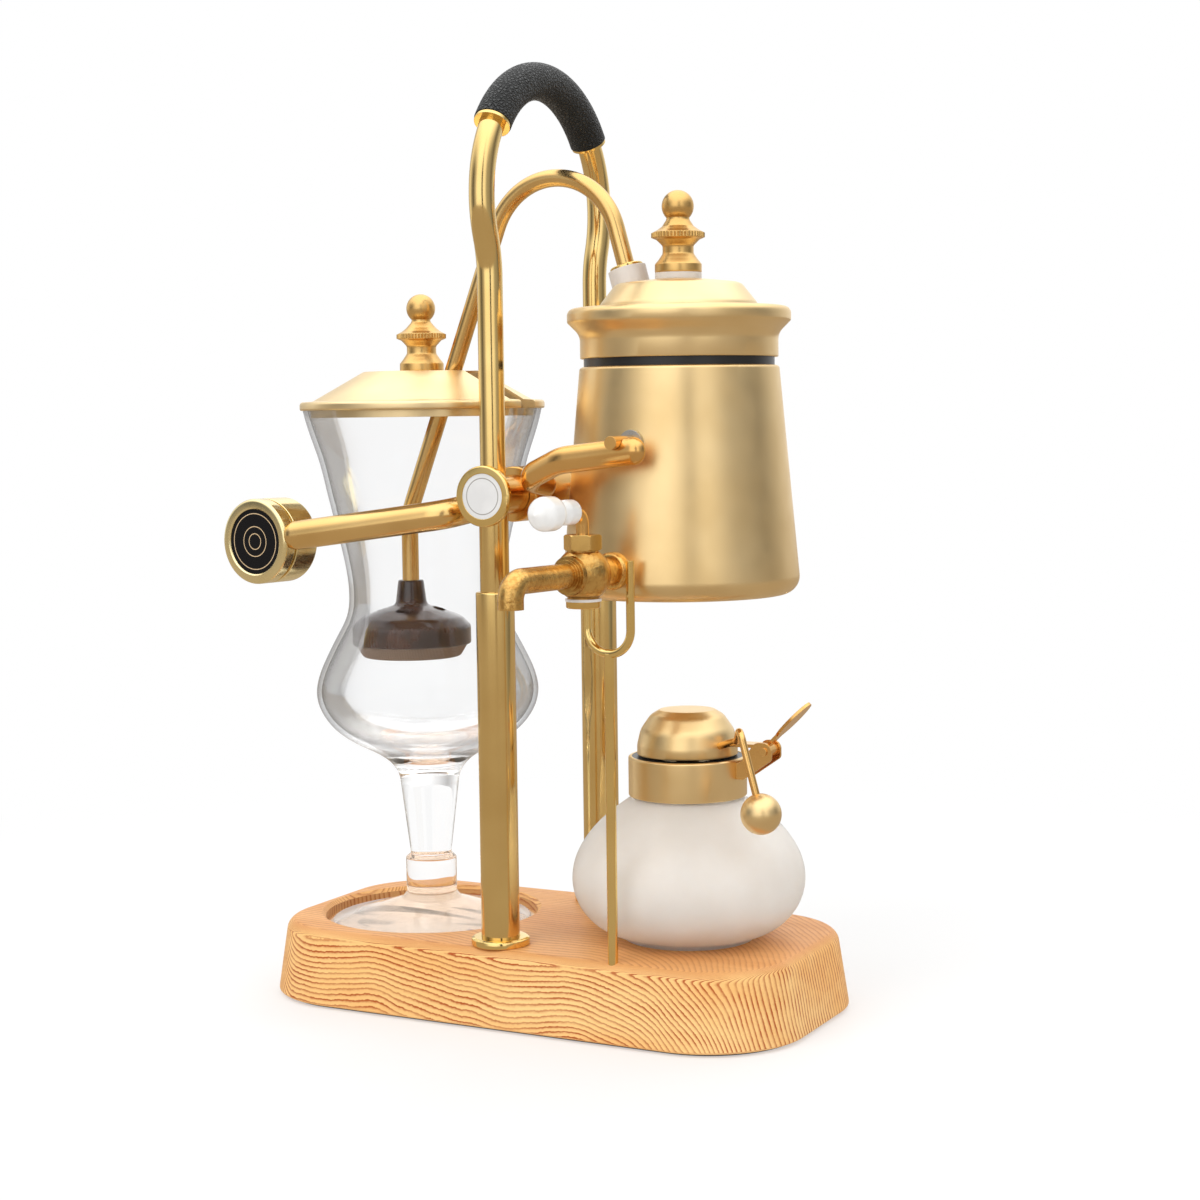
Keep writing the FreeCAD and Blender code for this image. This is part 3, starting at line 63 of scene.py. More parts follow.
class Graph:
    """Short hand for building the nodes of one material, or of the world."""

    def __init__(self, name, world=False):
        self.owner = (bpy.data.worlds if world else bpy.data.materials).new(name)
        self.owner.use_nodes = True
        self.tree = self.owner.node_tree
        self.tree.nodes.clear()
        self.out = self.tree.nodes.new("ShaderNodeOutputWorld" if world else "ShaderNodeOutputMaterial")

    def add(self, kind, **settings):
        node = self.tree.nodes.new("ShaderNode" + kind)
        for key, value in settings.items():
            setattr(node, key, value)
        return node

    def link(self, source, target):
        self.tree.links.new(source, target)

    def feed(self, node, name, value):
        """Sets an input to a number or colour, or links it to another node's output."""
        socket = node.inputs[name]
        if isinstance(value, bpy.types.NodeSocket):
            self.link(value, socket)
        else:
            socket.default_value = value

    def coords(self, scale=(1, 1, 1)):
        """Object coordinates in millimetres, stretched by scale."""
        place = self.add("TexCoord")
        mapping = self.add("Mapping")
        self.link(place.outputs["Object"], mapping.inputs["Vector"])
        mapping.inputs["Scale"].default_value = tuple(1000.0 * s for s in scale)
        return mapping.outputs["Vector"]

    def axes(self, vector):
        """The X, Y and Z of a vector."""
        node = self.add("SeparateXYZ")
        self.link(vector, node.inputs[0])
        return node.outputs[0], node.outputs[1], node.outputs[2]

    def noise(self, vector, scale, detail=3.0, rough=0.55, distortion=0.0):
        node = self.add("TexNoise")
        self.link(vector, node.inputs["Vector"])
        node.inputs["Scale"].default_value = scale
        node.inputs["Detail"].default_value = detail
        node.inputs["Roughness"].default_value = rough
        node.inputs["Distortion"].default_value = distortion
        return node.outputs["Fac"]

    def voronoi(self, vector, scale, feature="F1", randomness=1.0):
        node = self.add("TexVoronoi", feature=feature)
        self.link(vector, node.inputs["Vector"])
        node.inputs["Scale"].default_value = scale
        node.inputs["Randomness"].default_value = randomness
        return node.outputs["Distance"]

    def math(self, operation, first, second=0.0, third=0.0, clamp=False):
        node = self.add("Math", operation=operation, use_clamp=clamp)
        for index, value in enumerate((first, second, third)):
            self.feed(node, index, value)
        return node.outputs[0]

    def spread(self, value, low, high, from_low=0.0, from_high=1.0):
        """The range from_low to from_high, spread over low to high."""
        node = self.add("MapRange")
        self.feed(node, "Value", value)
        node.inputs["From Min"].default_value = from_low
        node.inputs["From Max"].default_value = from_high
        node.inputs["To Min"].default_value = low
        node.inputs["To Max"].default_value = high
        return node.outputs[0]

    def stretch(self, noise):
        """The middle of a noise's range, stretched to run from 0 to 1."""
        return self.spread(noise, 0.0, 1.0, 0.35, 0.65)

    def one_minus(self, value):
        return self.math("SUBTRACT", 1.0, value)

    def smooth(self, value, low, high):
        """0 below low, 1 above high, smooth between."""
        node = self.add("MapRange", interpolation_type="SMOOTHSTEP")
        self.feed(node, "Value", value)
        node.inputs["From Min"].default_value = low
        node.inputs["From Max"].default_value = high
        return node.outputs[0]

    def levels(self, value, stops):
        """A grey ramp through pairs of position and brightness."""
        node = self.add("ValToRGB")
        self.link(value, node.inputs["Fac"])
        elements = node.color_ramp.elements
        while len(elements) < len(stops):
            elements.new(0.5)
        for element, (position, brightness) in zip(elements, stops):
            element.position = position
            element.color = (brightness, brightness, brightness, 1.0)
        return node.outputs["Color"]

    def mix(self, factor, first, second):
        """The first colour where factor is 0, the second where it is 1."""
        node = self.add("Mix", data_type="RGBA")
        self.feed(node, 0, factor)
        self.feed(node, 6, first if isinstance(first, bpy.types.NodeSocket) else tuple(first) + (1.0,))
        self.feed(node, 7, second if isinstance(second, bpy.types.NodeSocket) else tuple(second) + (1.0,))
        return node.outputs[2]

    def between(self, factor, first, second):
        """The first number where factor is 0, the second where it is 1."""
        node = self.add("Mix", data_type="FLOAT")
        for index, value in zip((0, 2, 3), (factor, first, second)):
            self.feed(node, index, value)
        return node.outputs[0]

    def mix_shaders(self, factor, first, second):
        node = self.add("MixShader")
        for index, source in enumerate((factor, first, second)):
            self.link(source, node.inputs[index])
        return node.outputs[0]

    def bump(self, height, strength, distance, normal=None):
        """A normal from a height; distance is in millimetres."""
        node = self.add("Bump")
        self.link(height, node.inputs["Height"])
        node.inputs["Strength"].default_value = strength
        node.inputs["Distance"].default_value = distance * MM
        if normal is not None:
            self.link(normal, node.inputs["Normal"])
        return node.outputs["Normal"]

    def principled(self, **inputs):
        node = self.add("BsdfPrincipled")
        for name, value in inputs.items():
            name = name.replace("_", " ")
            if isinstance(value, tuple) and ("Color" in name or "Tint" in name):
                value = value + (1.0,)
            self.feed(node, name, value)
        return node.outputs["BSDF"]

    def length_from(self, x, y, centre_x=0.0, centre_y=0.0):
        """Distance in a plane from a fixed point."""
        dx = self.math("SUBTRACT", x, centre_x)
        dy = self.math("SUBTRACT", y, centre_y)
        squares = self.math("ADD", self.math("MULTIPLY", dx, dx), self.math("MULTIPLY", dy, dy))
        return self.math("SQRT", squares)

    def finish(self, shader):
        self.link(shader, self.out.inputs["Surface"])
        return self.owner


def metal(name, colour, rough, grain=None, dark=0.90, bump=0.05, haze=0.0):
    """Gold-coloured metal: slow tone drift, faint smudges in the gloss, fine grain, slightly bright edges."""
    g = Graph(name)
    at = g.coords()
    drift = g.noise(at, 0.03, 2)
    smudge = g.noise(at, 0.10, 3, 0.6)
    deep = tuple(channel * dark * tint for channel, tint in zip(colour, (1.0, 0.96, 0.88)))
    tone = g.mix(g.stretch(drift), deep, colour)
    rounded = g.add("Bevel", samples=4)
    rounded.inputs["Radius"].default_value = 0.30 * MM
    face = g.add("NewGeometry")
    facing = g.add("VectorMath", operation="DOT_PRODUCT")
    g.link(rounded.outputs["Normal"], facing.inputs[0])
    g.link(face.outputs["Normal"], facing.inputs[1])
    worn = g.smooth(g.one_minus(facing.outputs["Value"]), 0.04, 0.30)
    bright = tuple(min(1.0, channel * 1.12 + 0.06) for channel in colour)
    tone = g.mix(g.math("MULTIPLY", worn, EDGE_WEAR), tone, bright)
    if grain == "cast":
        # darker orange in noise patches of the casting: painted shade standing in for its crevices
        painted_hollow_shade = g.smooth(g.noise(at, 0.55, 4, 0.65), 0.56, 0.36)
        hollow_shade_tone = tuple(channel * tint for channel, tint in zip(colour, (0.5, 0.36, 0.2)))
        tone = g.mix(g.math("MULTIPLY", painted_hollow_shade, 1.0 - dark), tone, hollow_shade_tone)
    if grain == "brushed":
        streak = g.noise(g.coords((2.5, 2.5, 0.02)), 1.2, 2)
    elif grain == "spun":
        streak = g.noise(g.coords((0.05, 0.05, 4.0)), 1.0, 2)
    elif grain == "cast":
        streak = g.math(
            "ADD",
            g.math("MULTIPLY", g.noise(at, 0.9, 5, 0.7), 0.75),
            g.math("MULTIPLY", g.voronoi(at, 0.8), 0.35),
        )
    else:
        streak = g.noise(at, 3.5, 2)
    roughness = g.math(
        "ADD",
        g.spread(smudge, rough * 0.9, rough * 1.12, 0.3, 0.7),
        g.spread(streak, -0.02, 0.02),
        clamp=True,
    )
    normal = g.bump(streak, bump, 0.05 if grain != "cast" else 0.35, rounded.outputs["Normal"])
    shader = g.principled(
        Base_Color=tone,
        Metallic=1.0,
        Roughness=roughness,
        Normal=normal,
        Specular_Tint=(1.0, 0.97, 0.90),
        Coat_Weight=haze,
        Coat_Roughness=0.45,
        Coat_IOR=1.6,
    )
    return g.finish(shader)


def wood():
    """Clear-coated timber: wavy dark growth lines on the long sides, finer pink-tan lines on top and ends."""
    g = Graph("honey_wood")
    at = g.coords()
    x, y, z = g.axes(at)
    face_x, face_y, face_z = g.axes(g.add("NewGeometry").outputs["Normal"])
    side = g.smooth(g.math("ABSOLUTE", face_y), 0.25, 0.95)
    top = g.smooth(face_z, 0.5, 0.95)

    swell = g.noise(g.coords((0.013, 0.006, 0.006)), 1.0, 1, 0.4)
    ripple = g.noise(g.coords((0.05, 0.02, 0.02)), 1.0, 1, 0.5)
    jagged = g.noise(g.coords((0.5, 0.3, 0.5)), 1.0, 3, 0.7)
    warp = g.math("ADD", g.spread(swell, -13.0, 13.0), g.spread(ripple, -1.8, 1.8))
    warp = g.math("ADD", warp, g.spread(jagged, -0.65, 0.65))
    across = g.math("ADD", g.math("MULTIPLY", y, 0.75), g.math("MULTIPLY", z, 0.9))
    depth = g.math("ADD", z, g.math("MULTIPLY", y, 0.15))
    beyond = g.math("MAXIMUM", g.math("SUBTRACT", x, BEND_X), 0.0)
    height = g.math("ADD", g.math("ADD", g.between(side, across, depth), warp), BEND_DEPTH)
    along = g.length_from(beyond, height)
    # the lines turn the corner and run down the right end
    at_end = g.math("ADD", g.math("MULTIPLY", z, 0.12), g.math("MULTIPLY", y, 0.95))
    at_end = g.math("ADD", g.math("ADD", at_end, END_START), g.math("MULTIPLY", warp, 0.4))
    course = g.between(g.smooth(face_x, 0.30, 0.85), along, at_end)
    count = g.math("MULTIPLY", course, LINES_PER_MM)
    uneven = g.spread(g.noise(g.coords((0.012, 0.03, 0.05)), 1.0, 1), -0.9, 0.9)
    rings = g.math("FRACT", g.math("ADD", count, uneven))
    line = g.levels(rings, [(0.0, 0.0), (0.40, 0.06), (0.62, 0.45), (0.76, 1.0), (0.92, 1.0), (1.0, 0.0)])
    fade = g.spread(g.noise(g.coords((0.025, 0.12, 0.16)), 1.0, 3), 0.45, 1.0, 0.3, 0.6)
    strength = g.math("MULTIPLY", fade, g.spread(top, 1.0, 0.62))
    line = g.math("MULTIPLY", line, strength, clamp=True)

    fibre = g.noise(g.coords((0.05, 1.6, 1.6)), 1.0, 3, 0.7)
    blush = g.noise(g.coords((0.012, 0.05, 0.05)), 1.0, 2)
    honey = g.mix(g.stretch(blush), (0.92, 0.53, 0.185), (0.98, 0.65, 0.27))
    tan = g.mix(g.stretch(blush), (0.77, 0.37, 0.125), (0.87, 0.47, 0.18))
    body = g.mix(top, honey, tan)
    body = g.mix(g.spread(fibre, 0.0, 0.22, 0.35, 0.75), body, (0.62, 0.25, 0.06))
    dark = g.mix(top, (0.44, 0.088, 0.014), (0.50, 0.155, 0.035))
    colour = g.mix(line, body, dark)
    # painted shade darkens the wall of the goblet's recess, and painted light makes its floor pale where it
    # shows through the glass foot
    inner = g.smooth(g.math("SUBTRACT", RECESS_RADIUS, g.length_from(x, y, GOBLET_X)), -0.4, 0.6)
    wall = g.math("MULTIPLY", inner, g.one_minus(g.smooth(face_z, 0.2, 0.8)))
    # painted shade on the recess wall
    colour = g.mix(g.math("MULTIPLY", wall, 0.55), colour, (0.36, 0.13, 0.05))
    # painted light on the recess floor
    low = g.one_minus(g.smooth(z, GOBLET_FLOOR_Z + 0.5, GOBLET_FLOOR_Z + 2.5))
    painted_floor_light = g.math("MULTIPLY", g.math("MULTIPLY", inner, top), low)
    colour = g.mix(g.math("MULTIPLY", painted_floor_light, 0.75), colour, (0.98, 0.86, 0.72))
    relief = g.math("SUBTRACT", g.math("MULTIPLY", fibre, 0.35), g.math("MULTIPLY", line, 0.8))
    shader = g.principled(
        Base_Color=colour,
        Roughness=g.spread(g.noise(at, 0.3, 3), 0.45, 0.60),
        Normal=g.bump(relief, 0.15, 0.20),
        Coat_Weight=0.10,
        Coat_Roughness=0.30,
        Specular_IOR_Level=0.30,
    )
    return g.finish(shader)


def let_light_through(g, shader, tint, share=1.0):
    """Shadow rays pass the glass, so that what stands behind it stays lit."""
    ray = g.add("LightPath")
    clear = g.add("BsdfTransparent")
    clear.inputs["Color"].default_value = tint + (1.0,)
    through = g.math("MULTIPLY", ray.outputs["Is Shadow Ray"], share)
    return g.mix_shaders(through, shader, clear.outputs[0])


def clear_glass():
    """Goblet: thin clear walls above and below a solid stem, their grazing rims darkened as painted shade; a
    foot whitened partly by faint frosting and partly by a painted reflection of the white surroundings.
    """
    g = Graph("clear_glass")
    at = g.coords()
    wave = g.noise(at, 0.05, 2)
    streak = g.noise(g.coords((0.04, 0.04, 0.25)), 1.0, 2)
    normal = g.bump(g.math("ADD", wave, g.math("MULTIPLY", streak, 0.3)), 0.10, 0.5)
    solid = g.principled(
        Base_Color=(0.995, 0.997, 0.997),
        Roughness=g.spread(g.noise(at, 0.2, 3), 0.0, 0.02),
        IOR=1.46,
        Transmission_Weight=1.0,
        Specular_IOR_Level=0.5,
        Normal=normal,
    )
    rim = g.add("LayerWeight")
    rim.inputs["Blend"].default_value = 0.5
    edge = g.smooth(rim.outputs["Facing"], 0.62, 1.0)
    # the thin walls turn darker toward their grazing rims: painted shade standing in for the dark edges
    # refraction gives real glass
    clear = g.add("BsdfTransparent")
    g.link(g.mix(edge, (0.988, 0.989, 0.990), (0.70, 0.71, 0.73)), clear.inputs["Color"])
    gloss = g.add("BsdfGlossy")
    gloss.inputs["Roughness"].default_value = 0.03
    g.link(normal, gloss.inputs["Normal"])
    fresnel = g.add("Fresnel")
    fresnel.inputs["IOR"].default_value = 1.28
    g.link(normal, fresnel.inputs["Normal"])
    thin = g.mix_shaders(g.math("MULTIPLY", fresnel.outputs[0], 0.55), clear.outputs[0], gloss.outputs[0])
    z = g.axes(at)[2]
    above_foot = g.smooth(z, STEM_BOTTOM_Z, STEM_BOTTOM_Z + 4.0)
    below_bowl = g.one_minus(g.smooth(z, STEM_TOP_Z, STEM_TOP_Z + 16.0))
    wall = g.mix_shaders(g.math("MULTIPLY", above_foot, below_bowl), thin, solid)
    # white layer on the foot, stronger at grazing rims: faint frosting with a painted reflection of the white
    # surroundings
    frosting_and_painted_reflection = g.principled(Base_Color=(0.97, 0.95, 0.93), Roughness=0.6, Specular_IOR_Level=0.2)
    foot = g.one_minus(g.smooth(z, STEM_BOTTOM_Z, STEM_BOTTOM_Z + 5.0))
    glass = g.mix_shaders(g.math("MULTIPLY", foot, g.spread(edge, 0.20, 0.34)), wall, frosting_and_painted_reflection)
    return g.finish(let_light_through(g, glass, (0.975, 0.98, 0.98)))


def frosted_glass():
    """Burner globe: ground outside, warm white."""
    g = Graph("frosted_glass")
    at = g.coords()
    grain = g.noise(at, 2.2, 4, 0.7)
    cloud = g.noise(at, 0.035, 3)
    colour = g.mix(g.stretch(cloud), (0.88, 0.83, 0.77), (0.94, 0.905, 0.86))
    rough = g.principled(
        Base_Color=colour,
        Roughness=g.spread(grain, 0.38, 0.52),
        IOR=1.45,
        Transmission_Weight=0.55,
        Subsurface_Weight=0.35,
        Subsurface_Radius=(0.012, 0.011, 0.010),
        Subsurface_Scale=1.0,
        Normal=g.bump(grain, 0.10, 0.05),
    )
    return g.finish(let_light_through(g, rough, (0.9, 0.89, 0.87), 0.6))


def leather():
    """Black leather: raised cells between creases; the creases are painted darker as shade and the cell tops
    lighter as highlight.
    """
    g = Graph("black_leather")
    at = g.coords()
    cells = g.voronoi(at, 0.72, "DISTANCE_TO_EDGE")
    creases = g.smooth(cells, 0.0, 0.30)
    fine = g.noise(at, 1.6, 3, 0.6)
    broad = g.noise(at, 0.12, 3)
    height = g.math("ADD", g.math("MULTIPLY", creases, 0.8), g.math("MULTIPLY", fine, 0.25))
    # creases painted darker as shade, cell tops painted lighter as highlight
    colour = g.mix(creases, (0.0012, 0.0014, 0.0014), (0.010, 0.012, 0.012))
    colour = g.mix(g.spread(broad, 0.0, 0.5, 0.4, 0.75), colour, (0.013, 0.016, 0.016))
    shader = g.principled(
        Base_Color=colour,
        Roughness=g.spread(creases, 0.60, 0.27),
        Normal=g.bump(height, 1.0, 0.95),
        Specular_IOR_Level=0.50,
    )
    return g.finish(shader)


def plastic(name, colour, rough, bump=0.05, **extra):
    """Moulded or glazed piece: faint tone drift, fine surface texture."""
    g = Graph(name)
    at = g.coords()
    drift = g.noise(at, 0.12, 3)
    darker = tuple(channel * 0.90 for channel in colour)
    grain = g.noise(at, 2.5, 3)
    shader = g.principled(
        Base_Color=g.mix(g.stretch(drift), darker, colour),
        Roughness=g.spread(grain, rough * 0.8, rough * 1.2),
        Normal=g.bump(grain, bump, 0.08),
        **extra,
    )
    return g.finish(shader)


def ringed(name, ground, line, centre, radii, half, rough):
    """Enamelled disc with thin concentric lines, twice half wide, about a point in the XZ plane."""
    g = Graph(name)
    at = g.coords()
    x, _, z = g.axes(at)
    away = g.length_from(x, z, *centre)
    mask = 0.0
    for radius in radii:
        gap = g.math("ABSOLUTE", g.math("SUBTRACT", away, radius))
        mask = g.math("MAXIMUM", mask, g.one_minus(g.smooth(gap, half * 0.6, half)))
    grain = g.noise(at, 2.0, 3)
    drift = g.mix(g.stretch(g.noise(at, 0.1, 2)), tuple(channel * 0.92 for channel in ground), ground)
    shader = g.principled(
        Base_Color=g.mix(mask, drift, line),
        Roughness=g.spread(grain, rough * 0.85, rough * 1.15),
        Specular_IOR_Level=0.2,
        Normal=g.bump(mask, 0.3, 0.1),
    )
    return g.finish(shader)


def smoked_brown():
    """Translucent brown filter housing with fine ribs round its band."""
    g = Graph("smoked_brown")
    at = g.coords()
    x, y, _ = g.axes(at)
    turn = g.math("ARCTAN2", y, g.math("SUBTRACT", x, FILTER_X))
    ribs = g.math("SINE", g.math("MULTIPLY", turn, FILTER_RIBS))
    outer = g.smooth(g.length_from(x, y, FILTER_X), FILTER_RADIUS - 1.4, FILTER_RADIUS - 0.6)
    band = g.math("MULTIPLY", outer, ribs)
    cloud = g.noise(at, 0.10, 3)
    colour = g.mix(g.stretch(cloud), (0.030, 0.011, 0.006), (0.095, 0.038, 0.020))
    shader = g.principled(
        Base_Color=colour,
        Roughness=g.spread(g.noise(at, 1.0, 3), 0.12, 0.22),
        Transmission_Weight=0.15,
        IOR=1.45,
        Coat_Weight=0.6,
        Coat_Roughness=0.12,
        Normal=g.bump(band, 0.5, 0.35),
    )
    return g.finish(shader)


def woven(name, colour, pitch):
    """Plain weave of crossing threads, pitch millimetres apart."""
    g = Graph(name)
    at = g.coords()
    x, y, z = g.axes(at)
    first = g.math("SINE", g.math("MULTIPLY", g.math("ADD", x, z), math.tau / pitch))
    second = g.math("SINE", g.math("MULTIPLY", g.math("SUBTRACT", y, z), math.tau / pitch))
    weave = g.math("MULTIPLY", first, second)
    # the threads are painted darker where the weave dips: painted shade between the crossing threads
    dark = tuple(channel * 0.6 for channel in colour)
    shader = g.principled(
        Base_Color=g.mix(g.spread(weave, 0, 1, -1, 1), dark, colour),
        Roughness=0.85,
        Normal=g.bump(weave, 0.6, 0.2),
    )
    return g.finish(shader)


SATIN = (0.90, 0.67, 0.34)
POLISHED = (0.90, 0.66, 0.26)
COPPER = (0.84, 0.50, 0.17)
TUBE = (0.84, 0.60, 0.235)
WARM = (0.84, 0.56, 0.22)
SHALLOW = (0.002, 0.002, 0.002)
looks = {
    "satin": metal("satin_gold", SATIN, 0.34, grain="spun", bump=0.02, haze=0.35),
    "satin_tube": metal("satin_gold_tube", TUBE, 0.12, grain="brushed", bump=0.02, haze=0.2),
    "lid": metal("satin_gold_lid", (0.92, 0.72, 0.40), 0.34, grain="spun", bump=0.02, haze=0.5),
    "finial": metal("satin_gold_turned", (0.78, 0.50, 0.18), 0.30, grain="spun", bump=0.05, haze=0.2),
    "polished": metal("polished_gold", POLISHED, 0.11, bump=0.02),
    "pale": metal("polished_pale_gold", (0.97, 0.83, 0.46), 0.18, bump=0.012, haze=0.2),
    "copper": metal("copper_gold", COPPER, 0.20, bump=0.03, haze=0.1),
    "warm": metal("warm_gold", WARM, 0.20, bump=0.02, haze=0.15),
    "cast": metal("cast_gold", (0.93, 0.57, 0.18), 0.16, grain="cast", bump=0.50, dark=0.50),
    "nut": metal("bonnet_gold", (0.86, 0.58, 0.21), 0.11, bump=0.02),
    "steel": metal("plain_steel", (0.50, 0.50, 0.50), 0.28, grain="brushed", bump=0.04),
    "wood": wood(),
    "glass": clear_glass(),
    "frosted": frosted_glass(),
    "leather": leather(),
    "rubber": plastic("black_rubber", (0.018, 0.018, 0.018), 0.7, bump=0.3),
    "seal": plastic("black_seal", (0.010, 0.010, 0.010), 0.35),
    "silicone": plastic(
        "white_seal",
        (0.72, 0.67, 0.63),
        0.38,
        Subsurface_Weight=0.3,
        Subsurface_Radius=SHALLOW,
        Subsurface_Scale=1.0,
    ),
    "inlay": ringed(
        "white_inlay",
        (0.74, 0.73, 0.715),
        (0.33, 0.31, 0.28),
        centre=(PORTAL_X, PIVOT_Z),
        radii=(7.0,),
        half=0.24,
        rough=0.2,
    ),
    "plate": ringed(
        "black_plate",
        (0.004, 0.004, 0.005),
        (0.62, 0.45, 0.26),
        centre=(PLATE_X - PLATE_FACE_SHIFT, PLATE_Z),
        radii=(3.2, 6.1, 11.4),
        half=0.22,
        rough=0.3,
    ),
    "ceramic": plastic(
        "white_ceramic",
        (0.86, 0.85, 0.83),
        0.14,
        Coat_Weight=0.6,
        Coat_Roughness=0.06,
        Subsurface_Weight=0.15,
        Subsurface_Radius=SHALLOW,
        Subsurface_Scale=1.0,
    ),
    "brown": smoked_brown(),
    "mesh": woven("filter_mesh", (0.30, 0.20, 0.13), 0.9),
    "wick": woven("cotton_wick", (0.80, 0.77, 0.70), 1.2),
}

NODE_LOOKS = {
    "wood": ["wooden_base"],
    "rubber": ["anti_slip_sheet"],
    "satin_tube": ["column_sleeves", "column_tube_front", "column_tube_rear", "arch_tube"],
    "polished": [
        "column_flanges",
        "handle_ferrules",
        "pivot_cap_rings",
        "stopper_washer",
        "guide_fork",
        "wick_holder",
    ],
    "copper": [
        "pivot_housing_front",
        "pivot_housing_rear",
        "cross_tube",
        "fork_tine_front",
        "fork_tine_rear",
        "trunnion_pins",
        "hinge_bracket",
        "hinge_pin",
        "snuffer_arm",
        "snuffer_weight_rod",
        "tap_lever",
    ],
    "pale": ["counterweight_cap", "counterweight_drum"],
    "warm": ["balance_arm", "siphon_tube"],
    "plate": ["counterweight_plate"],
    "steel": ["column_plugs", "column_bolts", "axle", "axle_bushes", "trunnion_washers"],
    "satin": ["boiler_pot", "neck_ring", "burner_collar", "snuffer_cap", "snuffer_weight_ball"],
    "lid": ["boiler_lid", "goblet_lid"],
    "finial": ["fill_plug", "lid_finial"],
    "cast": ["tap_body", "tap_flange"],
    "nut": ["tap_bonnet_nut", "tap_bottom_cap"],
    "leather": ["handle_grip"],
    "inlay": ["pivot_inlays"],
    "seal": ["rim_gasket", "collar_gasket"],
    "silicone": ["tube_stopper", "plug_gasket", "tap_cap_gasket"],
    "ceramic": ["tap_knob"],
    "brown": ["filter_head"],
    "mesh": ["filter_screen"],
    "wick": ["wick"],
    "glass": ["goblet_glass"],
    "frosted": ["burner_globe"],
}


def paint(obj, look):
    obj.data.materials.clear()
    obj.data.materials.append(looks[look])


def smooth_cad(obj):
    """Shades a CAD mesh smooth, with its real edges kept sharp, by modifiers only."""
    for polygon in obj.data.polygons:
        polygon.use_smooth = True
    weld = obj.modifiers.new("weld", "WELD")
    weld.merge_threshold = 2e-6
    edges = obj.modifiers.new("edges", "EDGE_SPLIT")
    edges.split_angle = math.radians(32)


for look, names in NODE_LOOKS.items():
    for name in names:
        paint(nodes[name], look)
        smooth_cad(nodes[name])


# ---------------------------------------------------------------- stage
def area(name, place, aim, size, power):
    """A rectangular lamp that gives light but shows in no reflection."""
    data = bpy.data.lights.new(name, "AREA")
    data.shape = "RECTANGLE"
    data.size, data.size_y = size
    data.energy = power
    light = bpy.data.objects.new(name, data)
    light.location = place
    light.visible_glossy = False
    light.rotation_euler = (Vector(aim) - Vector(place)).to_track_quat("-Z", "Y").to_euler()
    bpy.context.scene.collection.objects.link(light)


# Brightness round the horizon: 0 and 1 look along -Y, 0.25 along -X, 0.5 along +Y, 0.75 along +X.
HORIZON = [
    (0.0, 1.0),
    (0.035, 0.92),
    (0.07, 0.45),
    (0.14, 0.08),
    (0.19, 0.30),
    (0.26, 0.75),
    (0.34, 0.35),
    (0.43, 0.85),
    (0.58, 0.50),
    (0.66, 0.12),
    (0.72, 0.26),
    (0.79, 0.34),
    (0.84, 0.85),
    (0.886, 0.90),
    (0.892, 0.02),
    (0.914, 0.02),
    (0.920, 0.90),
    (0.96, 1.0),
]
DOME = (1.25, 1.25, 1.25)
GLOSSY_LEVEL = 1.45
DIFFUSE_LEVEL = 0.80


def studio_world():
    """White for the camera; for all else, a horizon of light and dark under a bright dome."""
    g = Graph("studio", world=True)
    x, y, z = g.axes(g.add("TexCoord").outputs["Generated"])
    turn = g.spread(g.math("ARCTAN2", x, y), 0.0, 1.0, -math.pi, math.pi)
    surroundings = g.mix(g.smooth(z, 0.30, 0.85), g.levels(turn, HORIZON), DOME)
    ray = g.add("LightPath")
    studio = g.add("Background")
    g.feed(studio, "Color", surroundings)
    g.feed(studio, "Strength", g.spread(ray.outputs["Is Diffuse Ray"], GLOSSY_LEVEL, DIFFUSE_LEVEL))
    white = g.add("Background")
    g.feed(white, "Color", (1.0, 1.0, 1.0, 1.0))
    seen = g.mix_shaders(ray.outputs["Is Camera Ray"], studio.outputs[0], white.outputs[0])
    return g.finish(seen)


def glow(g, colour):
    """Plain light of one colour, whatever falls on it."""
    node = g.add("Emission")
    g.feed(node, "Color", colour + (1.0,))
    return node.outputs[0]


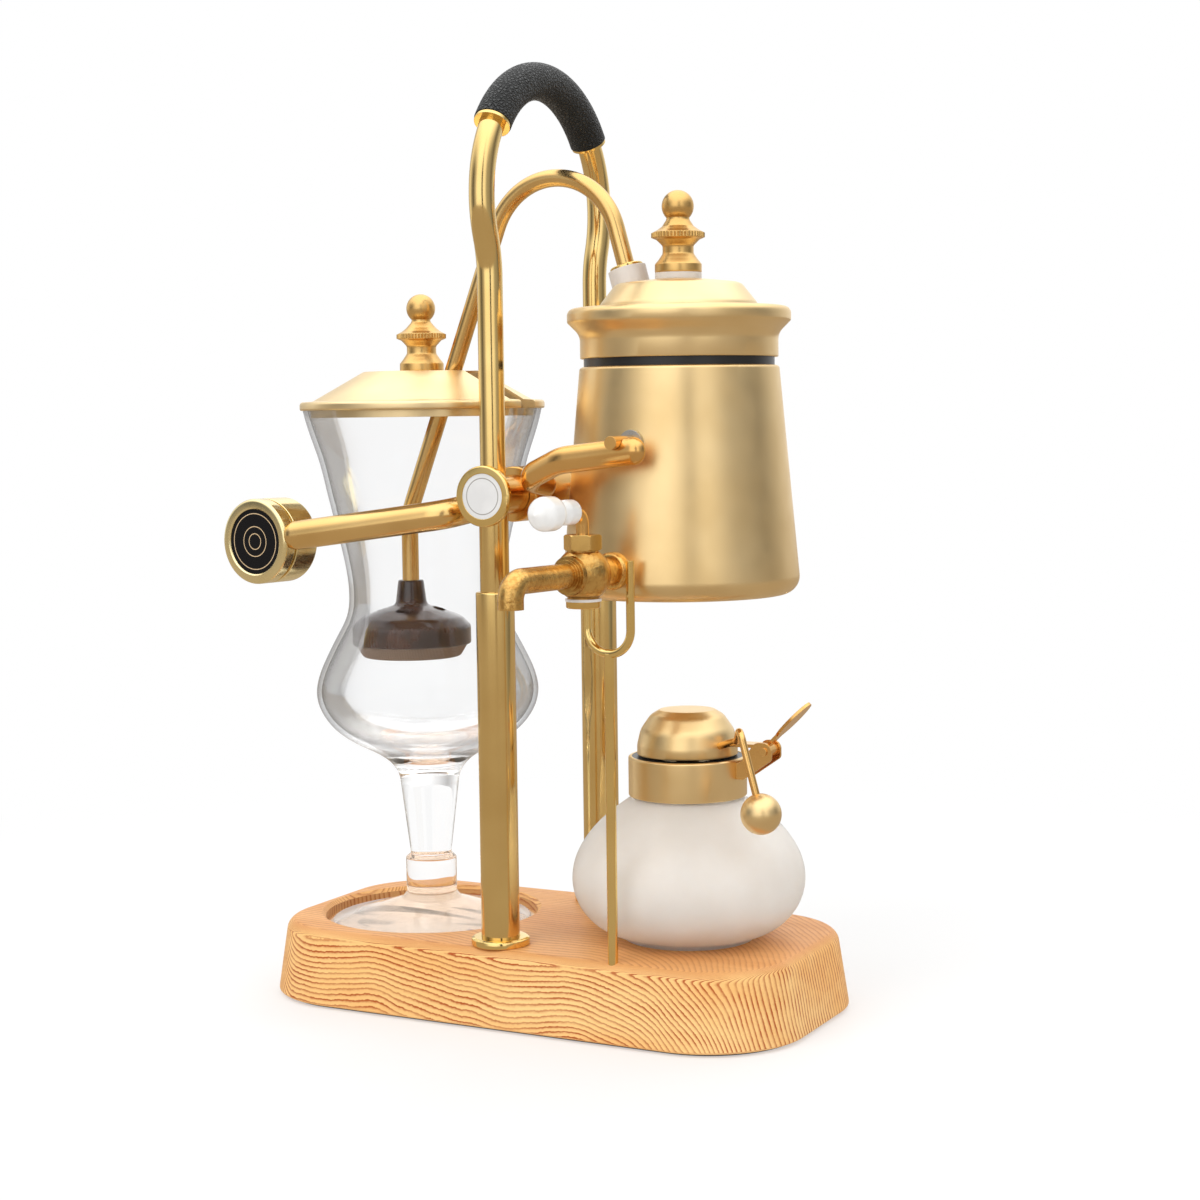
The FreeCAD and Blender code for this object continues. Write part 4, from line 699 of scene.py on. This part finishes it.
def floor_paper():
    """White paper that turns to plain white far out, and to dim tan where metal or glass mirrors it."""
    g = Graph("floor")
    metres = g.coords((0.001, 0.001, 0.001))
    x, y, _ = g.axes(metres)
    far = g.spread(g.smooth(g.length_from(x, y), 0.12, 0.55), 0.45, 1.0)
    tone = g.mix(g.spread(g.noise(metres, 900.0, 2), 0.0, 0.5), (0.93, 0.93, 0.93), (0.90, 0.90, 0.90))
    paper = g.principled(Base_Color=tone, Roughness=0.6, Specular_IOR_Level=0.2)
    plain = g.mix_shaders(far, paper, glow(g, (1.0, 1.0, 1.0)))
    ray = g.add("LightPath")
    bounced = g.math("SUBTRACT", ray.outputs["Is Glossy Ray"], ray.outputs["Is Transmission Ray"], clamp=True)
    return g.finish(g.mix_shaders(bounced, plain, glow(g, (0.50, 0.43, 0.35))))


def add_floor():
    mesh = bpy.data.meshes.new("floor")
    builder = bmesh.new()
    bmesh.ops.create_grid(builder, x_segments=2, y_segments=2, size=6.0)
    builder.to_mesh(mesh)
    builder.free()
    mesh.materials.append(floor_paper())
    floor = bpy.data.objects.new("floor", mesh)
    floor.location = (0, 0, -0.0002)
    bpy.context.scene.collection.objects.link(floor)


area("key", (-0.5, -1.4, 1.4), (0, 0, 0.15), (1.4, 1.4), 15)
area("fill", (1.6, -0.4, 0.9), (0, 0, 0.18), (1.2, 1.2), 6)
area("back", (0.2, 1.4, 1.1), (0, 0, 0.2), (1.8, 0.9), 6)
bpy.context.scene.world = studio_world()
add_floor()


# ---------------------------------------------------------------- camera
CAMERA_AT = (0.43558, -0.79040, 0.23995)
CAMERA_LENS = 66.51
YAW, PITCH, ROLL = (math.radians(angle) for angle in (27.647, 4.813, -0.732))


def add_camera():
    """The camera of the picture: turned by yaw about Z, lifted by pitch, then rolled."""
    backward = Vector((math.sin(YAW) * math.cos(PITCH), -math.cos(YAW) * math.cos(PITCH), math.sin(PITCH)))
    level = Vector((math.cos(YAW), math.sin(YAW), 0))
    upward = backward.cross(level)
    right = math.cos(ROLL) * level + math.sin(ROLL) * upward
    up = -math.sin(ROLL) * level + math.cos(ROLL) * upward
    data = bpy.data.cameras.new("camera")
    data.lens = CAMERA_LENS
    data.sensor_width = 36.0
    data.clip_start = 0.05
    data.clip_end = 20.0
    camera = bpy.data.objects.new("camera", data)
    bpy.context.scene.collection.objects.link(camera)
    matrix = Matrix((right, up, backward)).transposed().to_4x4()
    matrix.translation = CAMERA_AT
    camera.matrix_world = matrix
    bpy.context.scene.camera = camera


add_camera()
bpy.context.scene.view_settings.view_transform = "Standard"
bpy.context.scene.view_settings.look = "None"
